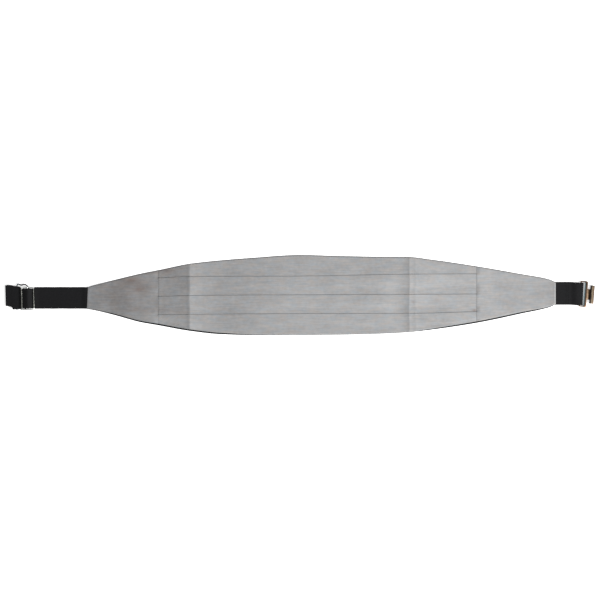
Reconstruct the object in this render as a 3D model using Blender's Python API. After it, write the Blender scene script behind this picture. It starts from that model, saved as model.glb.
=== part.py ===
"""A cummerbund laid out flat: a pleated front between two plain end panels on a dark backing, an
elastic strap at each end, and the slide, eye and hook that fasten it.

Lengths below are millimetres. Stations run along the waist (+X), heights up the wearer's body
(+Y), and +Z leaves the table that the backing lies on.
"""

import math
from collections import namedtuple

import bmesh
import bpy
from mathutils import Matrix, Vector

MM = 0.001

# Cloth
CLOTH = 1.0  # wall of the shell cloth, the backing and the elastic
GAP = 0.3  # clearance between layers that lie on each other
LAYER = CLOTH + GAP  # from one layer's middle to the next one's
FLOOR = CLOTH / 2  # middle of a layer that lies on the table
LOW = FLOOR + LAYER  # middle of a layer that lies on the backing
MITRE_LIMIT = 0.8  # the cosine that keeps a wall's sharp corners from running out to a spike
SHARP_ANGLE = math.radians(40)

# Whole outline, read along the waist. "below" is how far the backing shows under the shell.
Outline = namedtuple("Outline", "station upper lower below")
OUTLINE = (
    Outline(-320.0, 11.8, -20.9, 0.4),
    Outline(-308.0, 15.2, -22.9, 0.8),
    Outline(-278.0, 22.8, -30.2, 1.6),
    Outline(-240.0, 31.9, -40.6, 1.8),
    Outline(-212.8, 37.3, -45.4, 2.0),
    Outline(-165.0, 46.9, -53.9, 2.0),
    Outline(-120.0, 51.9, -58.7, 1.8),
    Outline(-75.0, 55.5, -60.0, 1.0),
    Outline(0.0, 60.0, -60.0, 0.5),
    Outline(60.0, 58.5, -59.5, 0.5),
    Outline(125.0, 57.3, -57.8, 0.5),
    Outline(164.5, 56.9, -55.5, 0.6),
    Outline(194.5, 53.4, -52.2, 1.2),
    Outline(263.8, 43.2, -41.9, 2.0),
    Outline(329.5, 31.8, -28.2, 1.9),
    Outline(376.0, 22.9, -17.6, 1.0),
    Outline(382.7, 19.1, -13.9, 0.4),
)
ABOVE = 0.5  # how far the backing shows over the shell
LEFT_SEAM = -212.8
RIGHT_SEAM = 263.8
LEFT_SLANT = 1.5  # the left end is cut this much out of square

# Fold edges of the three pleats, at five stations
Folds = namedtuple("Folds", "station first second third")
FOLDS = (
    Folds(-212.8, 25.6, -2.3, -29.6),
    Folds(-165.5, 27.7, -0.8, -29.0),
    Folds(0.0, 28.4, 0.4, -27.8),
    Folds(164.5, 31.3, 1.0, -27.4),
    Folds(263.8, 31.9, 1.6, -24.8),
)
PLEAT_DEPTH = 14.8
PLEAT_SLOPE = 6.0  # the front comes down to the backing over this, past the hidden fold
EDGE_ROOM = 5.0  # a pleat stops this short of the lower edge
FOLD_STEPS = 5

# Standing creases left by folding the garment in three
Crease = namedtuple("Crease", "station left_run right_run rise")
CREASES = (
    Crease(-165.0, 16.0, 14.0, 1.6),
    Crease(162.5, 18.0, 12.0, 1.6),
)
CREASE_STEPS = (-1.0, -0.6, -0.25, 0.0, 0.25, 0.6, 1.0)
STATION_SPACING = 30.0

# The end panels rise over the seam allowances and over the ends of the elastic
SEAM_RISE_RUN = 9.0
STRAP_RISE_RUN = 22.0
STRAP_INSET = 13.0  # length of elastic between an end panel and the backing
STRAP_RISE_MARGIN = 3.0
SEAM_SHARES = (0.0, 0.3, 0.6, 1.0)
QUARTERS = (0.25, 0.5, 0.75, 1.0)

# Edges of the left elastic, along its front layer and along its return
Edges = namedtuple("Edges", "station upper lower")
LEFT_FRONT = (
    Edges(-442.7, 14.6, -16.3),
    Edges(-437.0, 15.2, -17.0),
    Edges(-432.8, 14.9, -17.9),
    Edges(-431.0, 14.5, -21.8),
    Edges(-425.0, 13.2, -21.0),
    Edges(-420.0, 12.6, -20.6),
    Edges(-416.5, 9.8, -20.0),
    Edges(-400.5, 9.8, -20.0),
    Edges(-397.5, 12.0, -20.5),
    Edges(-306.0, 12.0, -20.5),
)
LEFT_RETURN = (
    Edges(-442.7, 14.6, -16.3),
    Edges(-437.0, 14.4, -17.0),
    Edges(-430.0, 13.4, -18.0),
    Edges(-421.0, 11.8, -18.4),
    Edges(-413.0, 9.8, -19.8),
    Edges(-400.5, 9.8, -20.0),
)
LEFT_TAIL = (
    Edges(-422.0, 10.6, -18.4),
    Edges(-417.0, 10.4, -18.5),
    Edges(-413.0, 9.8, -19.8),
    Edges(-400.5, 9.8, -20.0),
)
LEFT_FOLD = -442.1  # outer face of the turn, at the slide's own height
LEFT_TURN = 1.25  # middle radius of the turn
LEFT_TURN_LEAD = 2.0  # the front layer comes down to the turn this far before it
DROP_RUN = 9.0  # the elastic comes down to the table over this, past the body's edge
BAR_RUN = 8.0  # it starts to rise this far before the slide's right bar
CREST_SHIFT = 1.5  # its crest over the eye's bar lies this far to the left
LEAVING = math.radians(183)  # its heading past the slide's left bar, a little down
RETURN_RISE_START = -419.2  # the return leaves the table here
RETURN_RISE_END = -413.2  # and passes under the middle bar from here
TAIL_END = -421.3
BAR_STEPS = 3
MIDDLE_BAR_STEPS = 5
WRAP_STEPS = 9
TURN_STEPS = 6
RISE_STEPS = 5
DROP_STEPS = 4

# Edges of the right elastic, both layers
RIGHT_STRAP = (
    Edges(366.0, 19.6, -14.7),
    Edges(405.0, 19.6, -14.7),
    Edges(414.0, 18.8, -15.3),
    Edges(426.0, 18.8, -15.3),
)
RIGHT_FOLD_UPPER = 424.9  # outer face of the turn, at its upper and lower edge
RIGHT_FOLD_LOWER = 423.2
RIGHT_RISE_START = 405.0  # the front layer leaves the table's level here
RIGHT_RISE_END = 415.0
RIGHT_RETURN_LANDING = 410.0
RIGHT_RETURN_END = 395.0
LOOP_CLEARANCE = 0.15  # the hook's bar turns inside the elastic with this to spare
LOOP_STEPS = 8

# Slide: a wire oblong with a middle bar
SLIDE_WIRE = 2.0
SLIDE_CENTRE = Vector((-408.5, -5.1, 4.8))
SLIDE_LENGTH = 35.0
SLIDE_BAR_REACH = 8.8  # from the middle bar to each outer bar, seen from above
SLIDE_BAR_RISE = 1.4  # how much higher the left bar lies than the middle one
SLIDE_CORNER = 2.5
SLIDE_TURN = math.radians(1.6)

# Eye: a wire stirrup whose straight bar lies in the turn of the elastic
EYE_WIRE = 1.8
EYE_BAR = Vector((-425.7, -2.2, 2.2))
EYE_FAR_HEIGHT = EYE_WIRE / 2
EYE_TURN = math.radians(-3.5)
Stirrup = namedtuple("Stirrup", "along half")
STIRRUP = (
    Stirrup(0.0, 16.6),
    Stirrup(1.0, 18.7),
    Stirrup(3.2, 18.6),
    Stirrup(6.3, 17.6),
    Stirrup(10.0, 19.0),
    Stirrup(13.6, 18.2),
    Stirrup(16.6, 15.0),
    Stirrup(19.3, 9.5),
    Stirrup(20.6, 3.2),
)
EYE_POINTS_BETWEEN = 2

# Hook: sheet metal with a slot for the elastic and a leaf folded back over its end
SHEET = 1.0
HOOK_AXIS = Vector((419.5, 2.0, 2.3))
HOOK_TURN = math.radians(-4.5)
HOOK_BAR = 2.0
HOOK_SLOT_END = 5.5
HOOK_FRAME_END = 10.6
HOOK_HALF = 19.4
HOOK_SLOT_HALF = 17.8
HOOK_CORNER = 1.6
NECK_HALF = 8.4
NECK_WAIST_HALF = 7.7
LEAF_START = 14.7
LEAF_END = 22.15
LEAF_HALF = 13.7
LEAF_FOLD = 1.2  # middle radius of the fold
LEAF_FOLD_STEPS = 6
NECK_FILLET = 0.8  # the corner between the frame and the neck is eased by this
HOOK_CORNER_STEPS = 3
HOOK_REST_GAP = 0.05  # the lowered end stops this far over the table

SHELL_COLOUR = (0.40, 0.40, 0.41, 1.0)
LINING_COLOUR = (0.012, 0.014, 0.016, 1.0)
ELASTIC_COLOUR = (0.016, 0.016, 0.017, 1.0)
STEEL_COLOUR = (0.55, 0.56, 0.56, 1.0)
BRASS_COLOUR = (0.45, 0.36, 0.25, 1.0)


def material(name, colour, roughness, metallic=0.0):
    made = bpy.data.materials.new(name)
    made.use_nodes = True
    shader = made.node_tree.nodes["Principled BSDF"]
    shader.inputs["Base Color"].default_value = colour
    shader.inputs["Roughness"].default_value = roughness
    shader.inputs["Metallic"].default_value = metallic
    return made


def add_object(name, mesh, finish, place=None, smooth=True):
    """Links a mesh to the scene as one named piece."""
    piece = bpy.data.objects.new(name, mesh)
    bpy.context.scene.collection.objects.link(piece)
    mesh.materials.append(finish)
    if smooth:
        mesh.shade_smooth()
        mesh.set_sharp_from_angle(angle=SHARP_ANGLE)
    if place is not None:
        piece.matrix_world = place
    return piece


def read(table, column, station):
    """A smooth curve through one column of a table, with no overshoot between its rows."""
    stations = [row.station for row in table]
    values = [getattr(row, column) for row in table]
    if station <= stations[0]:
        return values[0]
    if station >= stations[-1]:
        return values[-1]
    slopes = [
        (values[i + 1] - values[i]) / (stations[i + 1] - stations[i])
        for i in range(len(table) - 1)
    ]

    def slope_at(i):
        if i in (0, len(table) - 1):
            return slopes[min(i, len(slopes) - 1)]
        before, after = slopes[i - 1], slopes[i]
        return 0.0 if before * after <= 0 else 2 * before * after / (before + after)

    k = max(i for i in range(len(table) - 1) if stations[i] <= station)
    run = stations[k + 1] - stations[k]
    t = (station - stations[k]) / run
    return (
        values[k] * (1 + 2 * t) * (1 - t) ** 2
        + values[k + 1] * t * t * (3 - 2 * t)
        + slope_at(k) * run * t * (1 - t) ** 2
        - slope_at(k + 1) * run * t * t * (1 - t)
    )


def ease(t):
    """0 to 1 with level ends."""
    t = min(max(t, 0.0), 1.0)
    return t * t * (3 - 2 * t)


def blend(a, b, t):
    return a + (b - a) * t


def normal_of(heading):
    """The direction to the left of a heading, in the plane of a section."""
    return Vector((-math.sin(heading), math.cos(heading)))


def bend(centre, radius, start, end, steps):
    """Points round a centre, from one heading to another. A negative radius turns to the right."""
    return [
        centre - radius * normal_of(blend(start, end, k / steps)) for k in range(steps + 1)
    ]


def offsets(curve, thickness):
    """The two faces of a wall whose middle is this curve: (left of the curve, right of it)."""
    left, right = [], []
    for i, point in enumerate(curve):
        before = (point - curve[i - 1]).normalized() if i else None
        after = (curve[i + 1] - point).normalized() if i < len(curve) - 1 else None
        before = before or after
        after = after or before
        along = (before + after).normalized()
        across = Vector((-along.y, along.x))
        reach = thickness / 2 / max(along.dot(before), MITRE_LIMIT)
        left.append(point + across * reach)
        right.append(point - across * reach)
    return left, right


def wall_mesh(name, sides):
    """A closed wall. Each entry of sides is a section's two faces, as lists of points."""
    built = bmesh.new()
    rings = []
    for first, second in sides:
        ring = [*first, *reversed(second)]
        rings.append([built.verts.new(Vector(point) * MM) for point in ring])
    count = len(rings[0])
    for ring, following in zip(rings, rings[1:]):
        for i in range(count):
            j = (i + 1) % count
            built.faces.new((ring[i], ring[j], following[j], following[i]))
    for ring, turned in ((rings[0], True), (rings[-1], False)):
        for i in range(count // 2 - 1):
            corners = (ring[i], ring[i + 1], ring[count - 2 - i], ring[count - 1 - i])
            built.faces.new(tuple(reversed(corners)) if turned else corners)
    bmesh.ops.recalc_face_normals(built, faces=built.faces)
    mesh = bpy.data.meshes.new(name)
    built.to_mesh(mesh)
    built.free()
    return mesh


# Heights of the shell over the backing


def crease_rise(station):
    """How far the folding creases lift the pleats here: a sharp crest with soft feet."""
    rise = 0.0
    for crease in CREASES:
        away = station - crease.station
        run = crease.left_run if away < 0 else crease.right_run
        near = max(1 - abs(away) / run, 0.0)
        rise += crease.rise * near * near
    return rise


def shell_upper(station):
    return read(OUTLINE, "upper", station) - ABOVE


def shell_lower(station):
    return read(OUTLINE, "lower", station) + read(OUTLINE, "below", station)


def pleat_sizes(station):
    """Per pleat: its fold edge, how deep its hidden fold lies, and the run of its slope."""
    lower = shell_lower(station)
    sizes = []
    for column in ("first", "second", "third"):
        edge = read(FOLDS, column, station)
        depth = min(PLEAT_DEPTH, edge - lower - EDGE_ROOM)
        slope = min(PLEAT_SLOPE, edge - depth - lower - CLOTH)
        sizes.append((edge, depth, slope))
    return sizes


def pleat_curve(station):
    """The middle of the pleated cloth across one station, from its upper edge down, as (y, z)."""
    low = LOW + crease_rise(station)
    middle = low + LAYER
    high = middle + LAYER
    turn = LAYER / 2
    down, up = math.pi, 0.0
    curve = [Vector((shell_upper(station), low))]
    for edge, depth, slope in pleat_sizes(station):
        hidden = edge - depth + CLOTH / 2 + turn
        crest = edge - CLOTH / 2 - turn
        curve.append(Vector((edge + LAYER, low)))
        curve += bend(Vector((hidden, low + turn)), -turn, down, up, FOLD_STEPS)
        curve += bend(Vector((crest, middle + turn)), turn, up, down, FOLD_STEPS)
        for k in range(4):
            t = k / 3
            curve.append(Vector((edge - depth - slope * t, blend(high, low, ease(t)))))
    curve.append(Vector((shell_lower(station), low)))
    return curve


def pleat_stations():
    """Even stations from seam to seam, with closer ones over the creases."""
    first = LEFT_SEAM + GAP / 2
    last = RIGHT_SEAM - GAP / 2
    close = [
        crease.station + step * (crease.left_run if step < 0 else crease.right_run)
        for crease in CREASES
        for step in CREASE_STEPS
    ]
    stops = sorted([first, *close, last])
    found = []
    for start, end in zip(stops, stops[1:]):
        parts = max(1, round((end - start) / STATION_SPACING))
        found += [blend(start, end, k / parts) for k in range(parts)]
    return [*found, last]


def build_pleated_panel(finish):
    sides = []
    for station in pleat_stations():
        faces = offsets(pleat_curve(station), CLOTH)
        sides.append([[(station, p.x, p.y) for p in face] for face in faces])
    return add_object("pleated_panel", wall_mesh("pleated_panel", sides), finish)


def front_rise(station, height):
    """How far the pleats' visible face lies over the lowest layer, eased at each fold edge."""
    rise = 0.0
    for edge, depth, slope in pleat_sizes(station):
        below_edge = ease((edge + CLOTH - height) / (2 * CLOTH))
        before_slope = 1 - ease((edge - depth - height) / slope)
        rise = max(rise, 2 * LAYER * min(below_edge, before_slope))
    return rise


def panel_heights(seam):
    """Heights across the seam, closer together where the pleats step, as shares from the top."""
    upper, lower = shell_upper(seam), shell_lower(seam)
    heights = [upper, lower]
    for edge, depth, slope in pleat_sizes(seam):
        heights += [edge + CLOTH, edge, edge - CLOTH]
        heights += [edge - depth - slope * t for t in (0.0, 0.5, 1.0)]
    return [(upper - height) / (upper - lower) for height in sorted(heights, reverse=True)]


def build_end_panel(name, seam, end, slant, finish):
    """A plain panel from a pleat seam to the narrow end, where it covers the elastic."""
    side = math.copysign(1.0, end - seam)
    start = seam + side * GAP / 2
    span = abs(end - start)
    shares = panel_heights(seam)
    flat = span - STRAP_INSET - STRAP_RISE_MARGIN - STRAP_RISE_RUN
    away = [SEAM_RISE_RUN * share for share in SEAM_SHARES]
    away += [blend(SEAM_RISE_RUN, flat, share) for share in QUARTERS]
    away += [flat + STRAP_RISE_RUN * share for share in QUARTERS]
    away += [span - STRAP_INSET / 2, span]
    sides = []
    for distance in away:
        faces = [[], []]
        for share in shares:
            reach = distance * (1 - slant * (1 - share) / span)
            station = start + side * reach
            height = blend(shell_upper(station), shell_lower(station), share)
            seam_height = blend(shell_upper(seam), shell_lower(seam), share)
            rise = front_rise(seam, seam_height) * (1 - ease(distance / SEAM_RISE_RUN))
            rise += LAYER * ease((distance - flat) / STRAP_RISE_RUN)
            for face, half in zip(faces, (CLOTH / 2, -CLOTH / 2)):
                face.append((station, height, LOW + rise + half))
        sides.append(faces)
    return add_object(name, wall_mesh(name, sides), finish)


def build_backing(finish):
    """The lining, cut to the whole outline, flat on the table."""
    stations = sorted({row.station for row in OUTLINE} | set(pleat_stations()))
    upper, lower = [], []
    for station in stations:
        slant = LEFT_SLANT if station == OUTLINE[0].station else 0.0
        upper.append((station + slant, read(OUTLINE, "upper", station + slant)))
        lower.append((station, read(OUTLINE, "lower", station)))
    sides = []
    for top, bottom in zip(upper, lower):
        faces = [[(*top, z), (*bottom, z)] for z in (CLOTH, 0.0)]
        sides.append(faces)
    return add_object("backing", wall_mesh("backing", sides), finish, smooth=False)


# Elastic


def ribbon_sides(curve, edges, turn=0.0, pivot=0.0):
    """Sections of a ribbon from its side view and its (upper, lower) edges at each point. It
    leans across its width by a turn about the height of its pivot.
    """
    left, right = offsets(curve, CLOTH)
    sides = []
    for which in (0, 1):
        faces = []
        for face in (left, right):
            faces.append([])
            for point, heights in zip(face, edges):
                lean = (heights[which] - pivot) * math.sin(turn)
                faces[-1].append((point.x - lean, heights[which], point.y))
        sides.append(faces)
    return sides


def eased_line(start, end, steps):
    """Points from start to end, level at both."""
    return [
        Vector((blend(start.x, end.x, k / steps), blend(start.y, end.y, ease(k / steps))))
        for k in range(steps + 1)
    ]


def edges_along(table, curve):
    return [
        (read(table, "upper", point.x), read(table, "lower", point.x)) for point in curve
    ]


def build_left_strap(finish):
    """From the end panel under the slide's right bar, over its middle bar and under its left
    bar, round the eye's bar, and back along the table to the middle bar, where it ends in a
    tail.
    """
    body_end = OUTLINE[0].station
    middle_bar = Vector((SLIDE_CENTRE.x, SLIDE_CENTRE.z))
    to_left_bar = Vector((-SLIDE_BAR_REACH, SLIDE_BAR_RISE))
    right_bar = middle_bar - to_left_bar
    left_bar = middle_bar + to_left_bar
    touch = SLIDE_WIRE / 2 + GAP + CLOTH / 2  # from a bar's middle to elastic that lies on it
    over = touch + LAYER
    tilt = math.atan2(to_left_bar.y, to_left_bar.x)
    cross = math.asin((touch + over) / to_left_bar.length)
    climb = tilt - cross
    descend = tilt + cross
    level = math.pi

    front = [Vector((body_end + STRAP_INSET, LOW)), Vector((body_end + CLOTH, LOW))]
    landing = Vector((body_end - DROP_RUN, FLOOR))
    front += eased_line(Vector((body_end - GAP, LOW)), landing, DROP_STEPS)
    take_off = Vector((right_bar.x + BAR_RUN, FLOOR))
    under = Vector((right_bar.x, right_bar.y - touch))
    front += eased_line(take_off, under, DROP_STEPS)[:-1]
    front += bend(right_bar, -touch, level, climb, BAR_STEPS)
    front += bend(middle_bar, over, climb, descend, MIDDLE_BAR_STEPS)
    front += bend(left_bar, -touch, descend, LEAVING, BAR_STEPS)

    turn_centre = Vector((LEFT_FOLD + CLOTH / 2 + LEFT_TURN, FLOOR + LEFT_TURN))
    over_eye = EYE_BAR.z + EYE_WIRE / 2 + GAP + CLOTH / 2
    crest = Vector((EYE_BAR.x - CREST_SHIFT, over_eye))
    front += eased_line(crest, turn_centre + Vector((LEFT_TURN_LEAD, LEFT_TURN)), RISE_STEPS)
    fold = bend(turn_centre, LEFT_TURN, level, 2 * math.pi, TURN_STEPS)
    back = [Vector((row.station, FLOOR)) for row in LEFT_RETURN[1:3]]
    wrapped = Vector((RETURN_RISE_END, middle_bar.y - touch))
    back += eased_line(Vector((RETURN_RISE_START, FLOOR)), wrapped, RISE_STEPS)
    tail = bend(middle_bar, touch, 0.0, descend, WRAP_STEPS)
    tail += bend(left_bar, -over, descend, LEAVING, BAR_STEPS)
    away = normal_of(LEAVING)
    along = Vector((away.y, -away.x))
    tail.append(tail[-1] + along * ((TAIL_END - tail[-1].x) / along.x))

    curve = front + fold + back + tail
    edges = edges_along(LEFT_FRONT, front)
    edges += edges_along(LEFT_RETURN, fold + back)
    edges += edges_along(LEFT_TAIL, tail)
    sides = ribbon_sides(curve, edges, SLIDE_TURN, SLIDE_CENTRE.y)
    return add_object("strap_left", wall_mesh("strap_left", sides), finish)


def build_right_strap(finish):
    """From the end panel over the hook's inner bar and back along the table."""
    body_end = OUTLINE[-1].station
    turn = math.hypot(HOOK_BAR, SHEET) / 2 + LOOP_CLEARANCE + CLOTH / 2
    rise_start = Vector((RIGHT_RISE_START, LOW))
    rise_end = Vector((RIGHT_RISE_END, HOOK_AXIS.z + turn))
    landing = Vector((RIGHT_RETURN_LANDING, HOOK_AXIS.z - turn))
    sides = []
    for which, fold in ((0, RIGHT_FOLD_UPPER), (1, RIGHT_FOLD_LOWER)):
        centre = Vector((fold - CLOTH / 2 - turn, HOOK_AXIS.z))
        curve = [Vector((body_end - STRAP_INSET, LOW)), Vector((body_end, LOW))]
        curve += eased_line(rise_start, rise_end, RISE_STEPS)
        curve += bend(centre, -turn, 0.0, -math.pi, LOOP_STEPS)
        curve += [landing, Vector((RIGHT_RETURN_END, FLOOR))]
        sides.append(ribbon_sides(curve, edges_along(RIGHT_STRAP, curve))[which])
    return add_object("strap_right", wall_mesh("strap_right", sides), finish)


# Hardware


def wire_mesh(name, points, wire, cyclic=True):
    """A round wire along points, as a mesh."""
    curve = bpy.data.curves.new(name, "CURVE")
    curve.dimensions = "3D"
    curve.bevel_depth = wire / 2 * MM
    curve.bevel_resolution = 3
    curve.use_fill_caps = not cyclic
    spline = curve.splines.new("POLY")
    spline.points.add(len(points) - 1)
    for point, place in zip(spline.points, points):
        point.co = (*(Vector(place) * MM), 1.0)
    spline.use_cyclic_u = cyclic
    guide = bpy.data.objects.new(name + "_guide", curve)
    bpy.context.scene.collection.objects.link(guide)
    bpy.context.view_layer.update()
    graph = bpy.context.evaluated_depsgraph_get()
    mesh = bpy.data.meshes.new_from_object(guide.evaluated_get(graph))
    bpy.data.objects.remove(guide)
    return mesh


def rounded_oblong(half_x, half_y, radius, steps):
    """The corners' arcs of an oblong, counter-clockwise from the right."""
    points = []
    for quarter, (sx, sy) in enumerate(((1, -1), (1, 1), (-1, 1), (-1, -1))):
        centre = Vector((sx * (half_x - radius), sy * (half_y - radius)))
        for k in range(steps + 1):
            angle = math.pi / 2 * (quarter - 1 + k / steps)
            points.append(centre + radius * Vector((math.cos(angle), math.sin(angle))))
    return points


def union(piece, other):
    """Joins other into piece for good."""
    joining = piece.modifiers.new("join", "BOOLEAN")
    joining.operation = "UNION"
    joining.object = other
    bpy.context.view_layer.update()
    graph = bpy.context.evaluated_depsgraph_get()
    joined = bpy.data.meshes.new_from_object(piece.evaluated_get(graph))
    piece.modifiers.clear()
    piece.data = joined
    bpy.data.objects.remove(other)


def build_slide(finish):
    reach = math.hypot(SLIDE_BAR_REACH, SLIDE_BAR_RISE)
    half = (SLIDE_LENGTH - SLIDE_WIRE) / 2
    outline = rounded_oblong(reach, half, SLIDE_CORNER, 4)
    tilt = math.atan2(SLIDE_BAR_RISE, SLIDE_BAR_REACH)
    place = (
        Matrix.Translation(SLIDE_CENTRE * MM)
        @ Matrix.Rotation(SLIDE_TURN, 4, "Z")
        @ Matrix.Rotation(tilt, 4, "Y")
    )
    frame = wire_mesh("slide", [(p.x, p.y, 0.0) for p in outline], SLIDE_WIRE)
    slide = add_object("slide", frame, finish, place)
    bar = wire_mesh("slide_bar", [(0, -half, 0), (0, half, 0)], SLIDE_WIRE, cyclic=False)
    middle = add_object("slide_bar", bar, finish, place)
    union(slide, middle)
    return slide


def smooth_loop(points, between):
    """A closed curve through points, with more points between each pair."""
    found = []
    count = len(points)
    for i in range(count):
        a, b, c, d = (points[(i + k - 1) % count] for k in range(4))
        for k in range(between + 1):
            t = k / (between + 1)
            found.append(
                0.5
                * (
                    2 * b
                    + (c - a) * t
                    + (2 * a - 5 * b + 4 * c - d) * t**2
                    + (3 * b - a - 3 * c + d) * t**3
                )
            )
    return found


def build_eye(finish):
    drop = EYE_BAR.z - EYE_FAR_HEIGHT
    length = STIRRUP[-1].along
    upper = [Vector((row.along, row.half)) for row in STIRRUP]
    lower = [Vector((row.along, -row.half)) for row in reversed(STIRRUP)]
    loop = smooth_loop([*upper, *lower], EYE_POINTS_BETWEEN)
    place = (
        Matrix.Translation(EYE_BAR * MM)
        @ Matrix.Rotation(EYE_TURN, 4, "Z")
        @ Matrix.Rotation(math.atan2(drop, length), 4, "Y")
    )
    wire = wire_mesh("eye", [(p.x, p.y, 0.0) for p in loop], EYE_WIRE)
    return add_object("eye", wire, finish, place)


def prism(name, outline, bottom, top, upright=False):
    """An outline extruded between two heights. Upright, it stands on its side along y."""
    built = bmesh.new()

    def point(p, level):
        return (p[0], level, p[1]) if upright else (p[0], p[1], level)

    floor = [built.verts.new(Vector(point(p, bottom)) * MM) for p in outline]
    roof = [built.verts.new(Vector(point(p, top)) * MM) for p in outline]
    built.faces.new(floor)
    built.faces.new(roof)
    for i in range(len(outline)):
        j = (i + 1) % len(outline)
        built.faces.new((floor[i], floor[j], roof[j], roof[i]))
    bmesh.ops.recalc_face_normals(built, faces=built.faces)
    mesh = bpy.data.meshes.new(name)
    built.to_mesh(mesh)
    built.free()
    return mesh


def hook_plate():
    """Half of the plate's outline, mirrored: the frame with round corners and the neck."""
    back = -HOOK_BAR / 2
    arc = [math.pi / 2 * k / HOOK_CORNER_STEPS for k in range(HOOK_CORNER_STEPS + 1)]
    near = [(HOOK_CORNER * (1 - math.cos(a)), HOOK_CORNER * (1 - math.sin(a))) for a in arc]
    half = [(back + u, HOOK_HALF - v) for u, v in near]
    half += [(HOOK_FRAME_END - v, HOOK_HALF - u) for u, v in near]
    half += [
        (HOOK_FRAME_END, NECK_HALF + NECK_FILLET),
        (HOOK_FRAME_END + NECK_FILLET / 2, NECK_HALF),
        ((HOOK_FRAME_END + LEAF_START) / 2, NECK_WAIST_HALF),
        (LEAF_START, NECK_HALF),
        (LEAF_START + HOOK_BAR, NECK_HALF),
    ]
    return [*half, *((u, -v) for u, v in reversed(half))]


def build_hook(finish):
    """The plate, less its slot, joined to the leaf that folds back over the end."""
    lowest = LEAF_END - LEAF_FOLD - SHEET / 2
    tilt = math.asin((HOOK_AXIS.z - SHEET / 2 - HOOK_REST_GAP) / lowest)
    place = (
        Matrix.Translation(HOOK_AXIS * MM)
        @ Matrix.Rotation(HOOK_TURN, 4, "Z")
        @ Matrix.Rotation(tilt, 4, "Y")
    )
    plate = prism("hook", hook_plate(), -SHEET / 2, SHEET / 2)
    hook = add_object("hook", plate, finish, place)

    slot_start = HOOK_BAR / 2
    corners = [
        (slot_start, -HOOK_SLOT_HALF),
        (HOOK_SLOT_END, -HOOK_SLOT_HALF),
        (HOOK_SLOT_END, HOOK_SLOT_HALF),
        (slot_start, HOOK_SLOT_HALF),
    ]
    slot = add_object("hook_slot", prism("hook_slot", corners, -SHEET, SHEET), finish, place)
    cut = hook.modifiers.new("slot", "BOOLEAN")
    cut.operation = "DIFFERENCE"
    cut.object = slot
    slot.hide_render = True
    slot.display_type = "WIRE"

    curl = Vector((LEAF_END - LEAF_FOLD - SHEET / 2, LEAF_FOLD))
    middle = [Vector((LEAF_START, 0.0))]
    middle += bend(curl, LEAF_FOLD, 0.0, math.pi, LEAF_FOLD_STEPS)
    middle.append(Vector((LEAF_START, 2 * LEAF_FOLD)))
    left, right = offsets(middle, SHEET)
    profile = [tuple(p) for p in (*right, *reversed(left))]
    leaf = add_object(
        "hook_leaf",
        prism("hook_leaf", profile, -LEAF_HALF, LEAF_HALF, upright=True),
        finish,
        place,
    )
    joining = hook.modifiers.new("leaf", "BOOLEAN")
    joining.operation = "UNION"
    joining.object = leaf
    leaf.hide_render = True
    leaf.display_type = "WIRE"
    return hook


def main():
    for thing in list(bpy.data.objects):
        bpy.data.objects.remove(thing)
    shell = material("grey satin cloth", SHELL_COLOUR, 0.5)
    lining = material("black lining", LINING_COLOUR, 0.8)
    elastic = material("black elastic", ELASTIC_COLOUR, 0.85)
    steel = material("nickel-plated wire", STEEL_COLOUR, 0.25, 1.0)
    brass = material("nickel-washed brass", BRASS_COLOUR, 0.35, 1.0)

    build_backing(lining)
    build_pleated_panel(shell)
    build_end_panel("end_panel_left", LEFT_SEAM, OUTLINE[0].station, LEFT_SLANT, shell)
    build_end_panel("end_panel_right", RIGHT_SEAM, OUTLINE[-1].station, 0.0, shell)
    build_left_strap(elastic)
    build_right_strap(elastic)
    build_slide(steel)
    build_eye(steel)
    build_hook(brass)


main()
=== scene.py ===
# %% [markdown]
# # A silver-grey cummerbund, laid out flat
#
# A cummerbund is a pleated sash worn with a dinner jacket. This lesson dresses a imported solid
# model of one: every solid keeps its place, and cloth, elastic and metal pieces are made over it.
# Each step says what the piece is on the real garment, how it could be made in Blender, and why
# it is made this way here.

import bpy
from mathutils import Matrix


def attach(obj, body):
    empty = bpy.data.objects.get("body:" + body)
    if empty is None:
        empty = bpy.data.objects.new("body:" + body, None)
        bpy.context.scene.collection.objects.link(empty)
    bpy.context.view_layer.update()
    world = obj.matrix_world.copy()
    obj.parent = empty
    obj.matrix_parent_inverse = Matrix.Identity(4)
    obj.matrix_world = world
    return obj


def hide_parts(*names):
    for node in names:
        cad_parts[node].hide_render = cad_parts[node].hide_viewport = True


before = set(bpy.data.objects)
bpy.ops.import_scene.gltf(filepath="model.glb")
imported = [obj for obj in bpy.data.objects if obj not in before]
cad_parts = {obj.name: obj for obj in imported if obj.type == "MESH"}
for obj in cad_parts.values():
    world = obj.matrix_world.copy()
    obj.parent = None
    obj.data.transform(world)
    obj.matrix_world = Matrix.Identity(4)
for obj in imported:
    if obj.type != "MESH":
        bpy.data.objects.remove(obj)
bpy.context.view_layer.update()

# %% Modules and units
import math
from collections import namedtuple

import bmesh
import bpy
from mathutils import Matrix, Vector, noise

MM = 0.001

# %% [markdown]
# ## The photographer's side: camera, table and light
#
# The garment is photographed from straight above, on white, with hardly any shadow. A short lens
# would make the thick ends look larger than they are, so a long one stands far off. The frame is
# a square of 900 mm, which is 1.5 mm for each of the photograph's 600 pixels.

# %% Camera
PIXELS = 600
MM_PER_PIXEL = 1.5
VIEW_CENTRE = (-0.5, -7.4)
LENS = 150.0
SENSOR = 36.0

distance = PIXELS * MM_PER_PIXEL * LENS / SENSOR
camera_data = bpy.data.cameras.new("camera")
camera_data.lens = LENS
camera_data.sensor_width = SENSOR
camera_data.clip_end = 100.0
camera = bpy.data.objects.new("camera", camera_data)
camera.location = Vector((*VIEW_CENTRE, distance)) * MM
bpy.context.scene.collection.objects.link(camera)
bpy.context.scene.camera = camera
print("the camera hangs", round(distance * MM, 2), "m over the table")

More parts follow.
